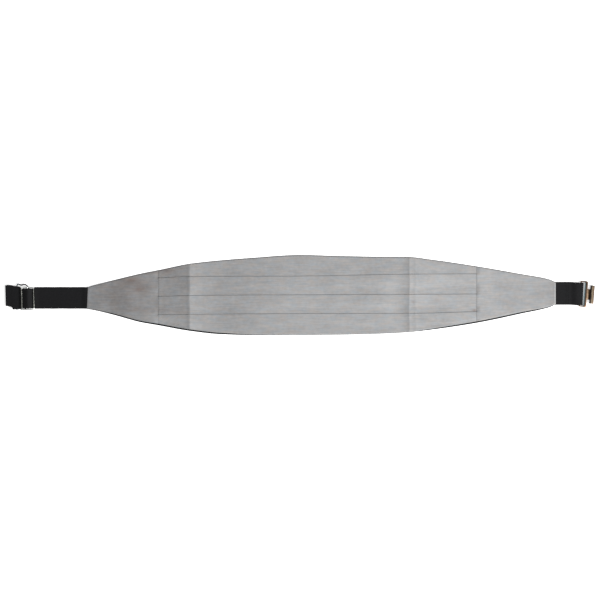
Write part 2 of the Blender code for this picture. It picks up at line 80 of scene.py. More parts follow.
# %% [markdown]
# The table is a white sheet that glows a little from behind, as a light table does, so that
# shadows on it all but vanish. One large soft light stands far off on the right and a little
# towards the lower edge. It makes the shading that shows the folds: slopes that face it are
# light, and slopes that face away are dark. A weak one on the left and the world fill in the
# rest.

# %% Table and light
Lamp = namedtuple("Lamp", "name place size power")
LAMPS = (
    Lamp("right_softbox", (2.2, -0.9, 1.7), 1.0, 150.0),
    Lamp("fill_softbox", (-0.8, 0.6, 2.4), 1.6, 14.0),
)
SKY_STRENGTH = 0.40
FLOOR_SIDE = 8.0
TABLE_GLOW = 0.42


def hex_colour(text):
    """An sRGB hex colour as linear RGBA."""
    channels = [int(text[i : i + 2], 16) / 255 for i in (1, 3, 5)]
    return (*(c / 12.92 if c <= 0.04045 else ((c + 0.055) / 1.055) ** 2.4 for c in channels), 1.0)


def add_node(tree, kind, sockets=None, **settings):
    """Adds a node. A socket is given a value, or the output that is linked to it."""
    made = tree.nodes.new(kind)
    for setting, value in settings.items():
        setattr(made, setting, value)
    for socket, value in (sockets or {}).items():
        if isinstance(value, bpy.types.NodeSocket):
            tree.links.new(value, made.inputs[socket])
        else:
            made.inputs[socket].default_value = value
    return made


def new_material(name):
    """A material with only its output, and the tree to build it in."""
    made = bpy.data.materials.new(name)
    made.use_nodes = True
    made.node_tree.nodes.clear()
    return made, made.node_tree


bpy.context.scene.view_settings.view_transform = "Standard"
world = bpy.data.worlds.new("studio")
bpy.context.scene.world = world
world.use_nodes = True
world.node_tree.nodes["Background"].inputs["Color"].default_value = hex_colour("#ffffff")
world.node_tree.nodes["Background"].inputs["Strength"].default_value = SKY_STRENGTH

for lamp in LAMPS:
    light = bpy.data.lights.new(lamp.name, "AREA")
    light.size = lamp.size
    light.energy = lamp.power
    stand = bpy.data.objects.new(lamp.name, light)
    stand.location = lamp.place
    stand.rotation_euler = (-Vector(lamp.place)).to_track_quat("-Z", "Y").to_euler()
    bpy.context.scene.collection.objects.link(stand)

bpy.ops.object.select_all(action="DESELECT")
bpy.ops.mesh.primitive_plane_add(size=FLOOR_SIDE)
table = bpy.context.object
table.name = "table"
paper, tree = new_material("white paper")
matt = add_node(
    tree,
    "ShaderNodeBsdfPrincipled",
    {
        "Base Color": hex_colour("#f4f4f4"),
        "Roughness": 0.9,
        "Specular IOR Level": 0.1,
        "Emission Color": hex_colour("#ffffff"),
        "Emission Strength": TABLE_GLOW,
    },
)
add_node(tree, "ShaderNodeOutputMaterial", {"Surface": matt.outputs[0]})
table.data.materials.append(paper)
print(len(LAMPS), "softboxes and a table of", FLOOR_SIDE, "m")

# %% [markdown]
# ## The garment's own sizes
#
# These are the sizes that the solids were made from. Stations run along the waist, heights up the
# wearer's body, both in millimetres. A curve through a table's column gives every size between
# its rows.

# %% Sizes
# The lining fills the outline. The shell stops short of its lower edge by the column below.
Outline = namedtuple("Outline", "station upper lower below")
OUTLINE = (
    Outline(-320.0, 11.8, -20.9, 0.4),
    Outline(-308.0, 15.2, -22.9, 0.8),
    Outline(-278.0, 22.8, -30.2, 1.6),
    Outline(-240.0, 31.9, -40.6, 1.8),
    Outline(-212.8, 37.3, -45.4, 2.0),
    Outline(-165.0, 46.9, -53.9, 2.0),
    Outline(-120.0, 51.9, -58.7, 1.8),
    Outline(-75.0, 55.5, -60.0, 1.0),
    Outline(0.0, 60.0, -60.0, 0.5),
    Outline(60.0, 58.5, -59.5, 0.5),
    Outline(125.0, 57.3, -57.8, 0.5),
    Outline(164.5, 56.9, -55.5, 0.6),
    Outline(194.5, 53.4, -52.2, 1.2),
    Outline(263.8, 43.2, -41.9, 2.0),
    Outline(329.5, 31.8, -28.2, 1.9),
    Outline(376.0, 22.9, -17.6, 1.0),
    Outline(382.7, 19.1, -13.9, 0.4),
)
ABOVE = 0.75  # the lining stands this far past the shell along the upper edge
TURNED_BACK = 1.25  # the thin cloth turns back a little further than the solid's wall does
LEFT_SEAM = -212.8
RIGHT_SEAM = 263.8
LEFT_SLANT = 1.5
SEAM_GAP = 0.12

Folds = namedtuple("Folds", "station first second third")
FOLDS = (
    Folds(-212.8, 25.6, -2.3, -29.6),
    Folds(-165.5, 27.7, -0.8, -29.0),
    Folds(0.0, 28.4, 0.4, -27.8),
    Folds(164.5, 31.3, 1.0, -27.4),
    Folds(263.8, 31.9, 1.6, -24.8),
)
PLEAT_DEPTH = 14.8
PLEAT_NAMES = ("first", "second", "third")

LINING_WALL = 0.4
SATIN_WALL = 0.45
LOW = 1.65  # middle of satin that lies on the lining
LAYER = 0.54  # from one pressed layer of a pleat to the next


def read(table, column, station):
    """A smooth curve through one column of a table, with no overshoot between its rows."""
    stations = [row.station for row in table]
    values = [getattr(row, column) for row in table]
    if station <= stations[0]:
        return values[0]
    if station >= stations[-1]:
        return values[-1]
    slopes = [
        (values[i + 1] - values[i]) / (stations[i + 1] - stations[i])
        for i in range(len(table) - 1)
    ]

    def slope_at(i):
        if i in (0, len(table) - 1):
            return slopes[min(i, len(slopes) - 1)]
        before, after = slopes[i - 1], slopes[i]
        return 0.0 if before * after <= 0 else 2 * before * after / (before + after)

    k = max(i for i in range(len(table) - 1) if stations[i] <= station)
    run = stations[k + 1] - stations[k]
    t = (station - stations[k]) / run
    return (
        values[k] * (1 + 2 * t) * (1 - t) ** 2
        + values[k + 1] * t * t * (3 - 2 * t)
        + slope_at(k) * run * t * (1 - t) ** 2
        - slope_at(k + 1) * run * t * t * (1 - t)
    )


def ease(t):
    """0 to 1 with level ends."""
    t = min(max(t, 0.0), 1.0)
    return t * t * (3 - 2 * t)


def blend(a, b, t):
    return a + (b - a) * t


def even(start, end, spacing):
    """Values from start to end, no further apart than spacing."""
    parts = max(1, math.ceil(abs(end - start) / spacing))
    return [blend(start, end, k / parts) for k in range(parts + 1)]


def shell_upper(station):
    return read(OUTLINE, "upper", station) - ABOVE


def shell_lower(station):
    return read(OUTLINE, "lower", station) + read(OUTLINE, "below", station) * TURNED_BACK


print("the body is", OUTLINE[-1].station - OUTLINE[0].station, "mm along the waist")

# %% [markdown]
# ## Creases
#
# Pressed satin is never quite flat. Two standing creases run from edge to edge where the garment
# was folded in three for storage, and the right one has a sharper crest and a small ridge beside
# it. Shallow dents and ridges lie mostly along the pleats. Noise alone looks like orange peel, so
# the main ones are given one by one, each with its own length, width and depth, and noise only
# breaks them up a little. They are one height field over the whole garment, so every layer of a
# pleat bends with its neighbours and none of them cross.

# %% Relief of the cloth
Crease = namedtuple("Crease", "station left_run right_run rise")
CREASES = (
    Crease(-165.8, 14.0, 22.0, 1.45),
    Crease(163.4, 14.0, 55.0, 1.40),
    Crease(163.4, 5.0, 4.5, 0.22),
    Crease(172.6, 3.4, 8.0, 0.20),
)
Dent = namedtuple("Dent", "station height half_length half_width turn depth")
DENTS = (
    Dent(-290, -8, 22, 9, 15, 0.25),
    Dent(-268, 12, 30, 8, 20, -0.30),
    Dent(-252, -18, 26, 8, -14, 0.30),
    Dent(-236, 8, 20, 6, 70, -0.25),
    Dent(-228, -30, 16, 5, -12, 0.28),
    Dent(-192, 14, 30, 4, 2, -0.25),
    Dent(-186, -16, 26, 4, 0, 0.22),
    Dent(-190, -42, 24, 4, -8, -0.22),
    Dent(-135, 38, 46, 6, 5, -0.22),
    Dent(-128, 12, 50, 4, 1, 0.18),
    Dent(-110, -12, 60, 4, 0, -0.18),
    Dent(-96, -44, 44, 6, -3, 0.25),
    Dent(-62, 46, 52, 5, 3, 0.20),
    Dent(-40, 18, 70, 4, 0, -0.16),
    Dent(-22, -38, 60, 5, 1, -0.22),
    Dent(-4, -6, 56, 4, 0, 0.18),
    Dent(18, 40, 62, 6, 0, -0.20),
    Dent(42, -46, 66, 5, 0, 0.22),
    Dent(60, 14, 58, 4, 0, -0.18),
    Dent(78, -12, 64, 5, -1, 0.20),
    Dent(96, 46, 48, 7, -1, -0.26),
    Dent(108, -40, 40, 6, 1, -0.24),
    Dent(126, 20, 44, 5, 1, 0.20),
    Dent(140, -20, 26, 5, 0, -0.22),
    Dent(190, 16, 34, 6, 0, 0.18),
    Dent(200, -18, 40, 4, -2, -0.30),
    Dent(214, 42, 34, 5, -6, 0.22),
    Dent(226, -34, 34, 5, 8, 0.20),
    Dent(240, -8, 22, 6, 4, 0.20),
    Dent(290, 20, 34, 8, -8, -0.22),
    Dent(302, -16, 44, 8, 9, 0.24),
    Dent(336, 4, 30, 10, 2, -0.26),
    Dent(358, 18, 18, 7, -12, 0.20),
)
SEAM_ROLL = 1.4  # cloth dips into a seam over this
SEAM_DIP = 0.28
PROPPED = 0.12  # the share of the dip that is left where the seam allowances prop the cloth
WANDER = 1.6  # a crease strays this far from a straight line
WANDER_RUN = 24.0
WANDER_SPAN = 300.0  # creases this far apart along the waist stray apart
FADED = 6  # a dent or patch is dropped where it has faded to exp(-6)
RIPPLE_LENGTH = 34.0
RIPPLE_WIDTH = 9.0
RIPPLE = 0.09


def crease_rise(station):
    """How far the storage creases lift the cloth: sharp crests with soft feet."""
    rise = 0.0
    for crease in CREASES:
        away = station - crease.station
        run = crease.left_run if away < 0 else crease.right_run
        near = max(1 - abs(away) / run, 0.0)
        rise += crease.rise * near * near
    return rise


def strayed(station, height):
    """The station, moved as the storage creases stray at this height. Here and below, the last
    number in a place of the noise only picks a slice of it.
    """
    place = Vector((station / WANDER_SPAN, height / WANDER_RUN, 1.3))
    return station + WANDER * noise.noise(place)


def relief(station, height):
    """The height field of the whole garment's soft creases, in millimetres."""
    rise = crease_rise(strayed(station, height))
    for dent in DENTS:
        turn = math.radians(dent.turn)
        across_x, across_y = station - dent.station, height - dent.height
        along = across_x * math.cos(turn) + across_y * math.sin(turn)
        across = across_y * math.cos(turn) - across_x * math.sin(turn)
        reach = (along / dent.half_length) ** 2 + (across / dent.half_width) ** 2
        if reach < FADED:
            rise += dent.depth * math.exp(-reach)
    place = Vector((station / RIPPLE_LENGTH, height / RIPPLE_WIDTH, 3.7))
    return rise + RIPPLE * noise.noise(place) + RIPPLE / 2 * noise.noise(place * 2.3)


def seam_dip(station):
    """The dip at the two seams. Their allowances are pressed to the left, which props that side."""
    away = min((station - LEFT_SEAM, station - RIGHT_SEAM), key=abs)
    depth = SEAM_DIP if away > 0 else SEAM_DIP * PROPPED
    return depth * max(1 - abs(away) / SEAM_ROLL, 0.0) ** 2


print(len(DENTS), "dents and", len(CREASES), "creases")

# %% [markdown]
# ## Tone
#
# The cloth isn't one even grey. The left end is painted darker, and it is faintly brown where it
# has been handled. Soft patches give each point a tone and a stain. Some tones are painted shade
# and light: a dark strip in each seam, a dark flank beside the right storage crease, pale lines
# along the ridges over the hidden pleat folds, and pale bands just below some of the fold edges.
# They are kept on the mesh as attributes, so they stay with the cloth, and no painted image is
# needed.

# %% Tone, painted shade and light, and stains of the satin
Patch = namedtuple("Patch", "station height reach_x reach_y change")
TONES_AND_PAINTED_LIGHT = (
    Patch(-305, 0, 30, 60, -0.05),
    Patch(-275, 4, 28, 90, -0.08),
    Patch(-250, 2, 11, 30, 0.07),
    Patch(-222, 6, 16, 90, 0.09),
    # painted shade: a dark strip in the left seam
    Patch(-213.5, 0, 2.2, 90, -0.09),
    Patch(-210, -40, 60, 12, 0.12),
    Patch(-172, 0, 5, 90, 0.07),
    Patch(-214, -37, 6, 6, 0.14),
    Patch(-148, 8, 12, 40, 0.05),
    Patch(-102, 6, 36, 70, -0.11),
    Patch(-92, -30, 20, 18, -0.05),
    Patch(-30, 40, 60, 22, -0.06),
    Patch(0, 6, 20, 40, 0.05),
    Patch(92, 8, 16, 40, -0.04),
    Patch(60, -20, 80, 30, 0.03),
    Patch(136, -4, 14, 30, 0.13),
    Patch(118, 40, 34, 16, -0.08),
    # painted shade on the right storage crease's flank that faces away from the light
    Patch(152, 0, 9, 90, -0.02),
    Patch(182, 12, 20, 24, 0.10),
    Patch(196, -40, 30, 14, -0.06),
    Patch(207, 6, 10, 20, 0.05),
    # painted shade: a dark strip in the right seam
    Patch(265, 0, 2.2, 90, -0.08),
    # painted light: pale bands just below the fold edges
    Patch(220, 24, 45, 7, 0.09),
    Patch(220, -6, 45, 7, 0.10),
    Patch(220, -35, 40, 7, 0.08),
    # painted highlight: pale lines along the ridges over the hidden pleat folds
    Patch(40, -41, 90, 3, 0.06),
    Patch(40, -14, 90, 3, 0.03),
    # painted light: pale bands just below the fold edges
    Patch(-191, -8, 20, 6, 0.07),
    Patch(-191, -35, 20, 8, 0.06),
    Patch(318, 0, 40, 60, -0.05),
    Patch(378, 0, 12, 60, -0.16),
)
LEFT_DARKENING_END = -167.0  # left of the storage crease the satin is painted darker
LEFT_DARKENING_RUN = 5.0
LEFT_DARKENING = 0.27
STAINS = (
    Patch(-250, 22, 16, 6, 0.30),
    Patch(-254, 23, 5, 3, 0.25),
    Patch(-243, 8, 6, 3, 0.44),
    Patch(-237, 12, 10, 6, 0.25),
    Patch(-265, 10, 40, 30, 0.24),
    Patch(-225, 38, 34, 5, 0.30),
    Patch(-200, 37, 8, 5, 0.25),
    Patch(-232, -22, 34, 3, 0.18),
    Patch(-186, 30, 40, 12, 0.10),
    Patch(-186, -24, 24, 3, 0.14),
    Patch(206, -8, 5, 4, 0.15),
    Patch(169, -10, 3, 2, 0.30),
    Patch(261, -23, 3, 2, 0.70),
)


def patch_sum(patches, station, height):
    total = 0.0
    for patch in patches:
        reach = ((station - patch.station) / patch.reach_x) ** 2
        reach += ((height - patch.height) / patch.reach_y) ** 2
        if reach < FADED:
            total += patch.change * math.exp(-reach)
    return total


def tone_and_painted_light_at(station, height):
    beyond = strayed(station, height) - LEFT_DARKENING_END
    darkening = LEFT_DARKENING * (1 - ease((beyond + LEFT_DARKENING_RUN / 2) / LEFT_DARKENING_RUN))
    return patch_sum(TONES_AND_PAINTED_LIGHT, station, height) - darkening


print(len(TONES_AND_PAINTED_LIGHT), "tones and", len(STAINS), "stains")

# %% [markdown]
# ## From rows of points to a sheet of cloth
#
# Cloth is modelled as one grid of points on the middle of its wall, so that its folds can be
# worked out from sizes. Solidify then gives it a real thickness on both sides. The UV map holds
# each point's place on the flat cut, in metres, so a weave runs over every fold without a break.


# %% Sheet builder
def select_only(piece):
    bpy.ops.object.select_all(action="DESELECT")
    piece.select_set(True)
    bpy.context.view_layer.objects.active = piece


def piece_from(built, name, finish):
    """Makes an object of one material from built mesh data."""
    mesh = bpy.data.meshes.new(name)
    built.to_mesh(mesh)
    built.free()
    mesh.materials.append(finish)
    piece = bpy.data.objects.new(name, mesh)
    bpy.context.scene.collection.objects.link(piece)
    return piece


def give_wall(piece, wall):
    """Thickens a sheet equally to both sides, for good."""
    select_only(piece)
    solid = piece.modifiers.new("wall", "SOLIDIFY")
    solid.thickness = wall * MM
    solid.offset = 0.0
    bpy.ops.object.modifier_apply(modifier=solid.name)


def sheet_of(name, rows, wall, finish, grain=0):
    """A sheet through rows of (x, y, z) points in millimetres, with its cut as its UV map.
    The cloth's grain runs along the points with the index grain, or along x where it is None.
    """
    built = bmesh.new()
    cut = built.loops.layers.uv.new("cut")
    tone = built.verts.layers.float.new("tone")
    stain = built.verts.layers.float.new("stain")
    grid, places = [], []
    run = 0.0
    for i, row in enumerate(rows):
        if i:
            middle = len(row) // 2
            run += (Vector(row[middle]) - Vector(rows[i - 1][middle])).length
        grid.append([])
        places.append([])
        across = 0.0
        for j, point in enumerate(row):
            if j:
                across += (Vector(point) - Vector(row[j - 1])).length
            vert = built.verts.new(Vector(point) * MM)
            vert[tone] = tone_and_painted_light_at(point[0], point[1])
            vert[stain] = patch_sum(STAINS, point[0], point[1])
            grid[-1].append(vert)
            places[-1].append((run * MM, across * MM))
        if grain is None:
            places[-1] = [(x * MM, y * MM) for x, y, z in row]
        else:
            start = places[-1][grain][1]
            places[-1] = [(u, v - start) for u, v in places[-1]]
    for i in range(len(rows) - 1):
        for j in range(len(rows[0]) - 1):
            ids = ((i, j), (i, j + 1), (i + 1, j + 1), (i + 1, j))
            face = built.faces.new([grid[a][b] for a, b in ids])
            face.smooth = True
            for loop, (a, b) in zip(face.loops, ids):
                loop[cut].uv = places[a][b]
    piece = piece_from(built, name, finish)
    give_wall(piece, wall)
    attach(piece, "garment")
    return piece


# %% [markdown]
# ## Silver-grey satin
#
# The shell is a satin-faced polyester with fine ribs along the waist. Filament yarn lies almost
# straight on its face, which gives a soft, broad highlight, and the yarns vary a little, which
# gives long pale and dark streaks. The ribs are 0.7 mm apart, less than a pixel of this picture,
# so from above only the streaks show, and the ribs show from near by. Handling leaves a fine
# mottle of pressed and lifted spots. Old satin also takes on casts, faintly blue here and
# faintly brown there.

# %% Satin
# Sizes in the materials are in metres, as the cut is. Each pattern has its length along the cloth
# and its width across it, its noise, the part of the noise that counts, and what that becomes.
# Sockets 1 to 4 of a Map Range node are the range that it reads and the range that it gives.
RIB_SPACING = 0.0007
Pattern = namedtuple("Pattern", "length width detail roughness share least most")
STREAKS = Pattern(0.024, 0.0021, 4.0, 0.6, 0.30, -0.08, 0.08)
CLOUDS = Pattern(0.034, 0.0170, 3.0, 0.6, 0.30, -0.08, 0.08)
CASTS = Pattern(0.016, 0.0050, 2.0, 0.6, 0.35, 0.0, 1.0)
MOTTLE = Pattern(0.0055, 0.0055, 2.0, 0.5, 0.30, 0.95, 1.05)


def wave_scale(spacing):
    """The wave texture's Scale that puts its crests this far apart."""
    return math.pi / 10 / spacing


def satin():
    made, tree = new_material("silver-grey satin-faced polyester")
    cut = add_node(tree, "ShaderNodeUVMap", uv_map="cut")
    fields, parts = {}, {}
    for pattern in (STREAKS, CLOUDS, CASTS, MOTTLE):
        place = add_node(
            tree,
            "ShaderNodeMapping",
            {"Vector": cut.outputs[0], "Scale": (1 / pattern.length, 1 / pattern.width, 1.0)},
        )
        field = add_node(
            tree,
            "ShaderNodeTexNoise",
            {
                "Vector": place.outputs[0],
                "Scale": 1.0,
                "Detail": pattern.detail,
                "Roughness": pattern.roughness,
            },
        )
        part = add_node(
            tree,
            "ShaderNodeMapRange",
            {
                "Value": field.outputs[0],
                1: pattern.share,
                2: 1 - pattern.share,
                3: pattern.least,
                4: pattern.most,
            },
        )
        fields[pattern], parts[pattern] = field.outputs[0], part.outputs[0]
    ribs = add_node(
        tree,
        "ShaderNodeTexWave",
        {
            "Vector": cut.outputs[0],
            "Scale": wave_scale(RIB_SPACING),
            "Distortion": 0.8,
            "Detail": 1.0,
            "Detail Scale": 0.3,
        },
        bands_direction="Y",
    )
    # The tone attribute carries the cloth's tone together with the painted shade and light of the
    # seams, the right crease and the pleats.
    brightness = add_node(tree, "ShaderNodeAttribute", attribute_name="tone").outputs["Fac"]
    for pattern in (STREAKS, CLOUDS, MOTTLE):
        total = add_node(
            tree, "ShaderNodeMath", {0: brightness, 1: parts[pattern]}, operation="ADD"
        )
        brightness = total.outputs[0]
    stain = add_node(tree, "ShaderNodeAttribute", attribute_name="stain")
    cast = add_node(
        tree,
        "ShaderNodeMix",
        {"Factor": parts[CASTS], "A": hex_colour("#828588"), "B": hex_colour("#888583")},
        data_type="RGBA",
    )
    stained = add_node(
        tree,
        "ShaderNodeMix",
        {"Factor": stain.outputs["Fac"], "A": cast.outputs["Result"], "B": hex_colour("#6a5850")},
        data_type="RGBA",
    )
    colour = add_node(
        tree,
        "ShaderNodeVectorMath",
        {0: stained.outputs["Result"], "Scale": brightness},
        operation="SCALE",
    )
    grain = add_node(
        tree,
        "ShaderNodeMath",
        {0: ribs.outputs["Fac"], 1: fields[STREAKS]},
        operation="ADD",
    )
    bump = add_node(
        tree,
        "ShaderNodeBump",
        {"Height": grain.outputs[0], "Strength": 0.35, "Distance": 0.0001},
    )
    shader = add_node(
        tree,
        "ShaderNodeBsdfPrincipled",
        {
            "Base Color": colour.outputs[0],
            "Roughness": 0.46,
            "Specular IOR Level": 0.45,
            "Sheen Weight": 0.08,
            "Sheen Roughness": 0.4,
            "Normal": bump.outputs[0],
        },
    )
    add_node(tree, "ShaderNodeOutputMaterial", {"Surface": shader.outputs[0]})
    return made


SATIN = satin()
print("made", SATIN.name)

# %% [markdown]
# ## Black lining
#
# The lining is the garment's back. From above only its edge shows, as a black line under the
# shell along the lower edge and a thin one along the top. It is woven plain, with a dull face.

# %% Lining cloth
LINING_THREAD = 0.0006


def plain_weave(name, dark, light, thread, roughness):
    """A plain woven cloth: two sets of threads, each painted a little lighter on its crown, as a
    painted highlight.
    """
    made, tree = new_material(name)
    cut = add_node(tree, "ShaderNodeUVMap", uv_map="cut")
    warp, weft = (
        add_node(
            tree,
            "ShaderNodeTexWave",
            {"Vector": cut.outputs[0], "Scale": wave_scale(thread), "Distortion": 0.3},
            bands_direction=direction,
        )
        for direction in ("X", "Y")
    )
    crown_height_and_painted_light = add_node(
        tree,
        "ShaderNodeMath",
        {0: warp.outputs["Fac"], 1: weft.outputs["Fac"]},
        operation="MULTIPLY",
    )
    # painted highlight on the crowns and painted shade between them
    colour = add_node(
        tree,
        "ShaderNodeMix",
        {"Factor": crown_height_and_painted_light.outputs[0], "A": hex_colour(dark), "B": hex_colour(light)},
        data_type="RGBA",
    )
    bump = add_node(
        tree,
        "ShaderNodeBump",
        {"Height": crown_height_and_painted_light.outputs[0], "Strength": 0.4, "Distance": 0.0001},
    )
    shader = add_node(
        tree,
        "ShaderNodeBsdfPrincipled",
        {
            "Base Color": colour.outputs["Result"],
            "Roughness": roughness,
            "Specular IOR Level": 0.3,
            "Normal": bump.outputs[0],
        },
    )
    add_node(tree, "ShaderNodeOutputMaterial", {"Surface": shader.outputs[0]})
    return made


LINING = plain_weave("black lining, plain woven", "#08090b", "#1a1c20", LINING_THREAD, 0.8)
print("made", LINING.name)

# %% The lining itself
LINING_MIDDLE = 0.55
LINING_SPACING = 4.0
LINING_STEPS = 12
LINING_EDGE = (0.0, 0.006, 0.014, 0.03)  # closer rows at both edges, as shares of the height
LINING_BODY = (0.08, 0.92)


def lining_rows():
    rows = []
    shares = [*LINING_EDGE]
    shares += [blend(*LINING_BODY, k / LINING_STEPS) for k in range(LINING_STEPS + 1)]
    shares += [1 - share for share in reversed(LINING_EDGE)]
    for station in even(OUTLINE[0].station, OUTLINE[-1].station, LINING_SPACING):
        upper, lower = read(OUTLINE, "upper", station), read(OUTLINE, "lower", station)
        slant = LEFT_SLANT if station == OUTLINE[0].station else 0.0
        row = []
        for j, share in enumerate(shares):
            leaned = station + slant * (1 - j / (len(shares) - 1))
            row.append((leaned, blend(upper, lower, share), LINING_MIDDLE))
        rows.append(row)
    return rows


lining = sheet_of("lining_sheet", lining_rows(), LINING_WALL, LINING)
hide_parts("backing")
print("lining:", len(lining.data.polygons), "faces")

# %% [markdown]
# ## The pleated front
#
# Three knife pleats open upward. Each pleat is a Z in the cloth: down to a hidden fold, back up
# to the fold edge that shows, and down again as the next band. The front of a band rides on two
# layers as far as the hidden fold, and then comes down, which shows as a faint ridge.

# %% Pleats
FOLD_STEPS = 7
BAND_SPACING = 1.7
SLOPE_RUN = 7.0
EDGE_ROOM = 5.0  # a pleat stops this short of the lower edge
FOOT_ROOM = 1.0  # and its slope this short of the next fold edge
BAND_REST = 2.0  # a band lies flat as far as this above the next fold edge
UNDER_STEPS = 4
TURN_ROOM = 1.2  # a band starts this far below the crest of its fold
EDGE_CLEAR = 0.3
NEAR_SEAM = (-1.5, -0.8, -0.3, 0.3, 0.8, 1.5)
NEAR_CREASE = (-1.2, 0.0, 1.2)
EDGE_ROLL = 1.6
EDGE_DROP = 0.65
STATION_SPACING = 2.2
EDGE_STEPS = (0.0, 0.3, 0.7, 1.1, 1.6)


def arc(centre, radius, start, end, steps):
    """Points round a centre in the plane of a section, between two angles in degrees."""
    points = []
    for k in range(steps + 1):
        angle = math.radians(blend(start, end, k / steps))
        points.append((centre[0] + radius * math.cos(angle), centre[1] + radius * math.sin(angle)))
    return points


Pleat = namedtuple("Pleat", "edge hidden foot")


def pleats_at(station):
    """Each pleat's fold edge, its hidden fold, and the foot of the slope past that."""
    lower = shell_lower(station)
    edges = [read(FOLDS, name, station) for name in PLEAT_NAMES]
    pleats = []
    for edge, following in zip(edges, (*edges[1:], lower)):
        hidden = edge - min(PLEAT_DEPTH, edge - lower - EDGE_ROOM)
        pleats.append(Pleat(edge, hidden, max(hidden - SLOPE_RUN, following + FOOT_ROOM)))
    return pleats


def front_level(height, pleat):
    """How high the front under a fold edge lies: level to the hidden fold, then coming down."""
    beyond = min(max((pleat.hidden - height) / (pleat.hidden - pleat.foot), 0.0), 1.0)
    return 2 * LAYER * (1 - beyond) ** 2


def edge_drop(from_edge):
    """How far the cloth curls down into the seam along its edges."""
    return EDGE_DROP * max(1 - from_edge / EDGE_ROLL, 0.0) ** 2


def pleat_section(station):
    """The pleated cloth across one station, from its upper edge down, as (height, level)."""
    turn = LAYER / 2
    upper, lower = shell_upper(station), shell_lower(station)
    points = [(upper - a, LOW - edge_drop(a)) for a in EDGE_STEPS]
    start = upper - EDGE_ROLL - EDGE_CLEAR
    counts = band_counts()
    above = None
    for pleat, steps in zip(pleats_at(station), counts):
        stop = pleat.edge + BAND_REST
        for k in range(steps + 1):
            height = blend(start, stop, k / steps)
            points.append((height, LOW + (front_level(height, above) if above else 0.0)))
        crest = pleat.edge - SATIN_WALL / 2 - turn
        valley = pleat.hidden + SATIN_WALL / 2 + turn
        for k in range(1, UNDER_STEPS + 1):
            points.append((blend(stop, valley, k / UNDER_STEPS), LOW))
        points += arc((valley, LOW + turn), turn, -90, -270, FOLD_STEPS)[1:]
        for k in range(1, UNDER_STEPS):
            points.append((blend(valley, crest, k / UNDER_STEPS), LOW + LAYER))
        points += arc((crest, LOW + LAYER + turn), turn, -90, 90, FOLD_STEPS)
        start = crest - TURN_ROOM
        above = pleat
    for k in range(counts[-1] + 1):
        height = blend(start, lower + EDGE_ROLL + EDGE_CLEAR, k / counts[-1])
        points.append((height, LOW + front_level(height, above)))
    points += [(lower + a, LOW - edge_drop(a)) for a in reversed(EDGE_STEPS)]
    return points


def band_counts():
    """Steps down each band at the tallest station, so that every row has as many points."""
    upper, lower = shell_upper(0.0), shell_lower(0.0)
    edges = [upper, *(pleat.edge for pleat in pleats_at(0.0)), lower]
    return [math.ceil((a - b) / BAND_SPACING) for a, b in zip(edges, edges[1:])]


def pleated_rows():
    rows = []
    stations = even(LEFT_SEAM + SEAM_GAP / 2, RIGHT_SEAM - SEAM_GAP / 2, STATION_SPACING)
    close = [seam + d for seam in (LEFT_SEAM, RIGHT_SEAM) for d in NEAR_SEAM]
    close += [crease.station + d for crease in CREASES for d in NEAR_CREASE]
    inside = [s for s in close if stations[0] < s < stations[-1]]
    for station in sorted({*stations, *inside}):
        dip = seam_dip(station)
        row = []
        for height, level in pleat_section(station):
            row.append((station, height, level + relief(station, height) - dip))
        rows.append(row)
    return rows


# The grain follows the last point of the first hidden fold.
first_fold = len(EDGE_STEPS) + band_counts()[0] + UNDER_STEPS + FOLD_STEPS
pleated = sheet_of("pleated_front", pleated_rows(), SATIN_WALL, SATIN, grain=first_fold)
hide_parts("pleated_panel")
print("pleated front:", len(pleated.data.polygons), "faces")

# %% [markdown]
# ## The end panels
#
# Each end of the body is a plain, tapering panel. Right at its seam it follows the heights of the
# pleats, because they are sewn into it. Their steps soon level out, it comes down more slowly,
# and at its narrow end it rises over the elastic.

# %% End panels
SEAM_RISE = 0.9
SEAM_RISE_RUN = 30.0
STEP_RUN = 6.0
STEP_WIDTH = 2.4
STRAP_RISE_RUN = 22.0
STRAP_COVER = 16.0
STRAP_LIFT = 1.3
END_ROLL = 1.4
END_DROP = 0.35
NEAR_START = (0.0, 0.3, 0.7, 1.2, 2.0)  # closer rows at the seam and at the narrow end
NEAR_END = (2.0, 1.2, 0.5, 0.0)
END_MARGIN = 3.0
END_EDGE = (0.0, 0.005, 0.012)
END_BODY = (0.03, 0.97)
END_STEPS = 60


def front_at_seam(station, height):
    """The level of the pleats' front at a seam, softened at each fold edge."""
    level = 0.0
    for pleat in pleats_at(station):
        near_edge = ease((pleat.edge + STEP_WIDTH / 2 - height) / STEP_WIDTH)
        level = max(level, near_edge * front_level(min(height, pleat.edge), pleat))
    return level


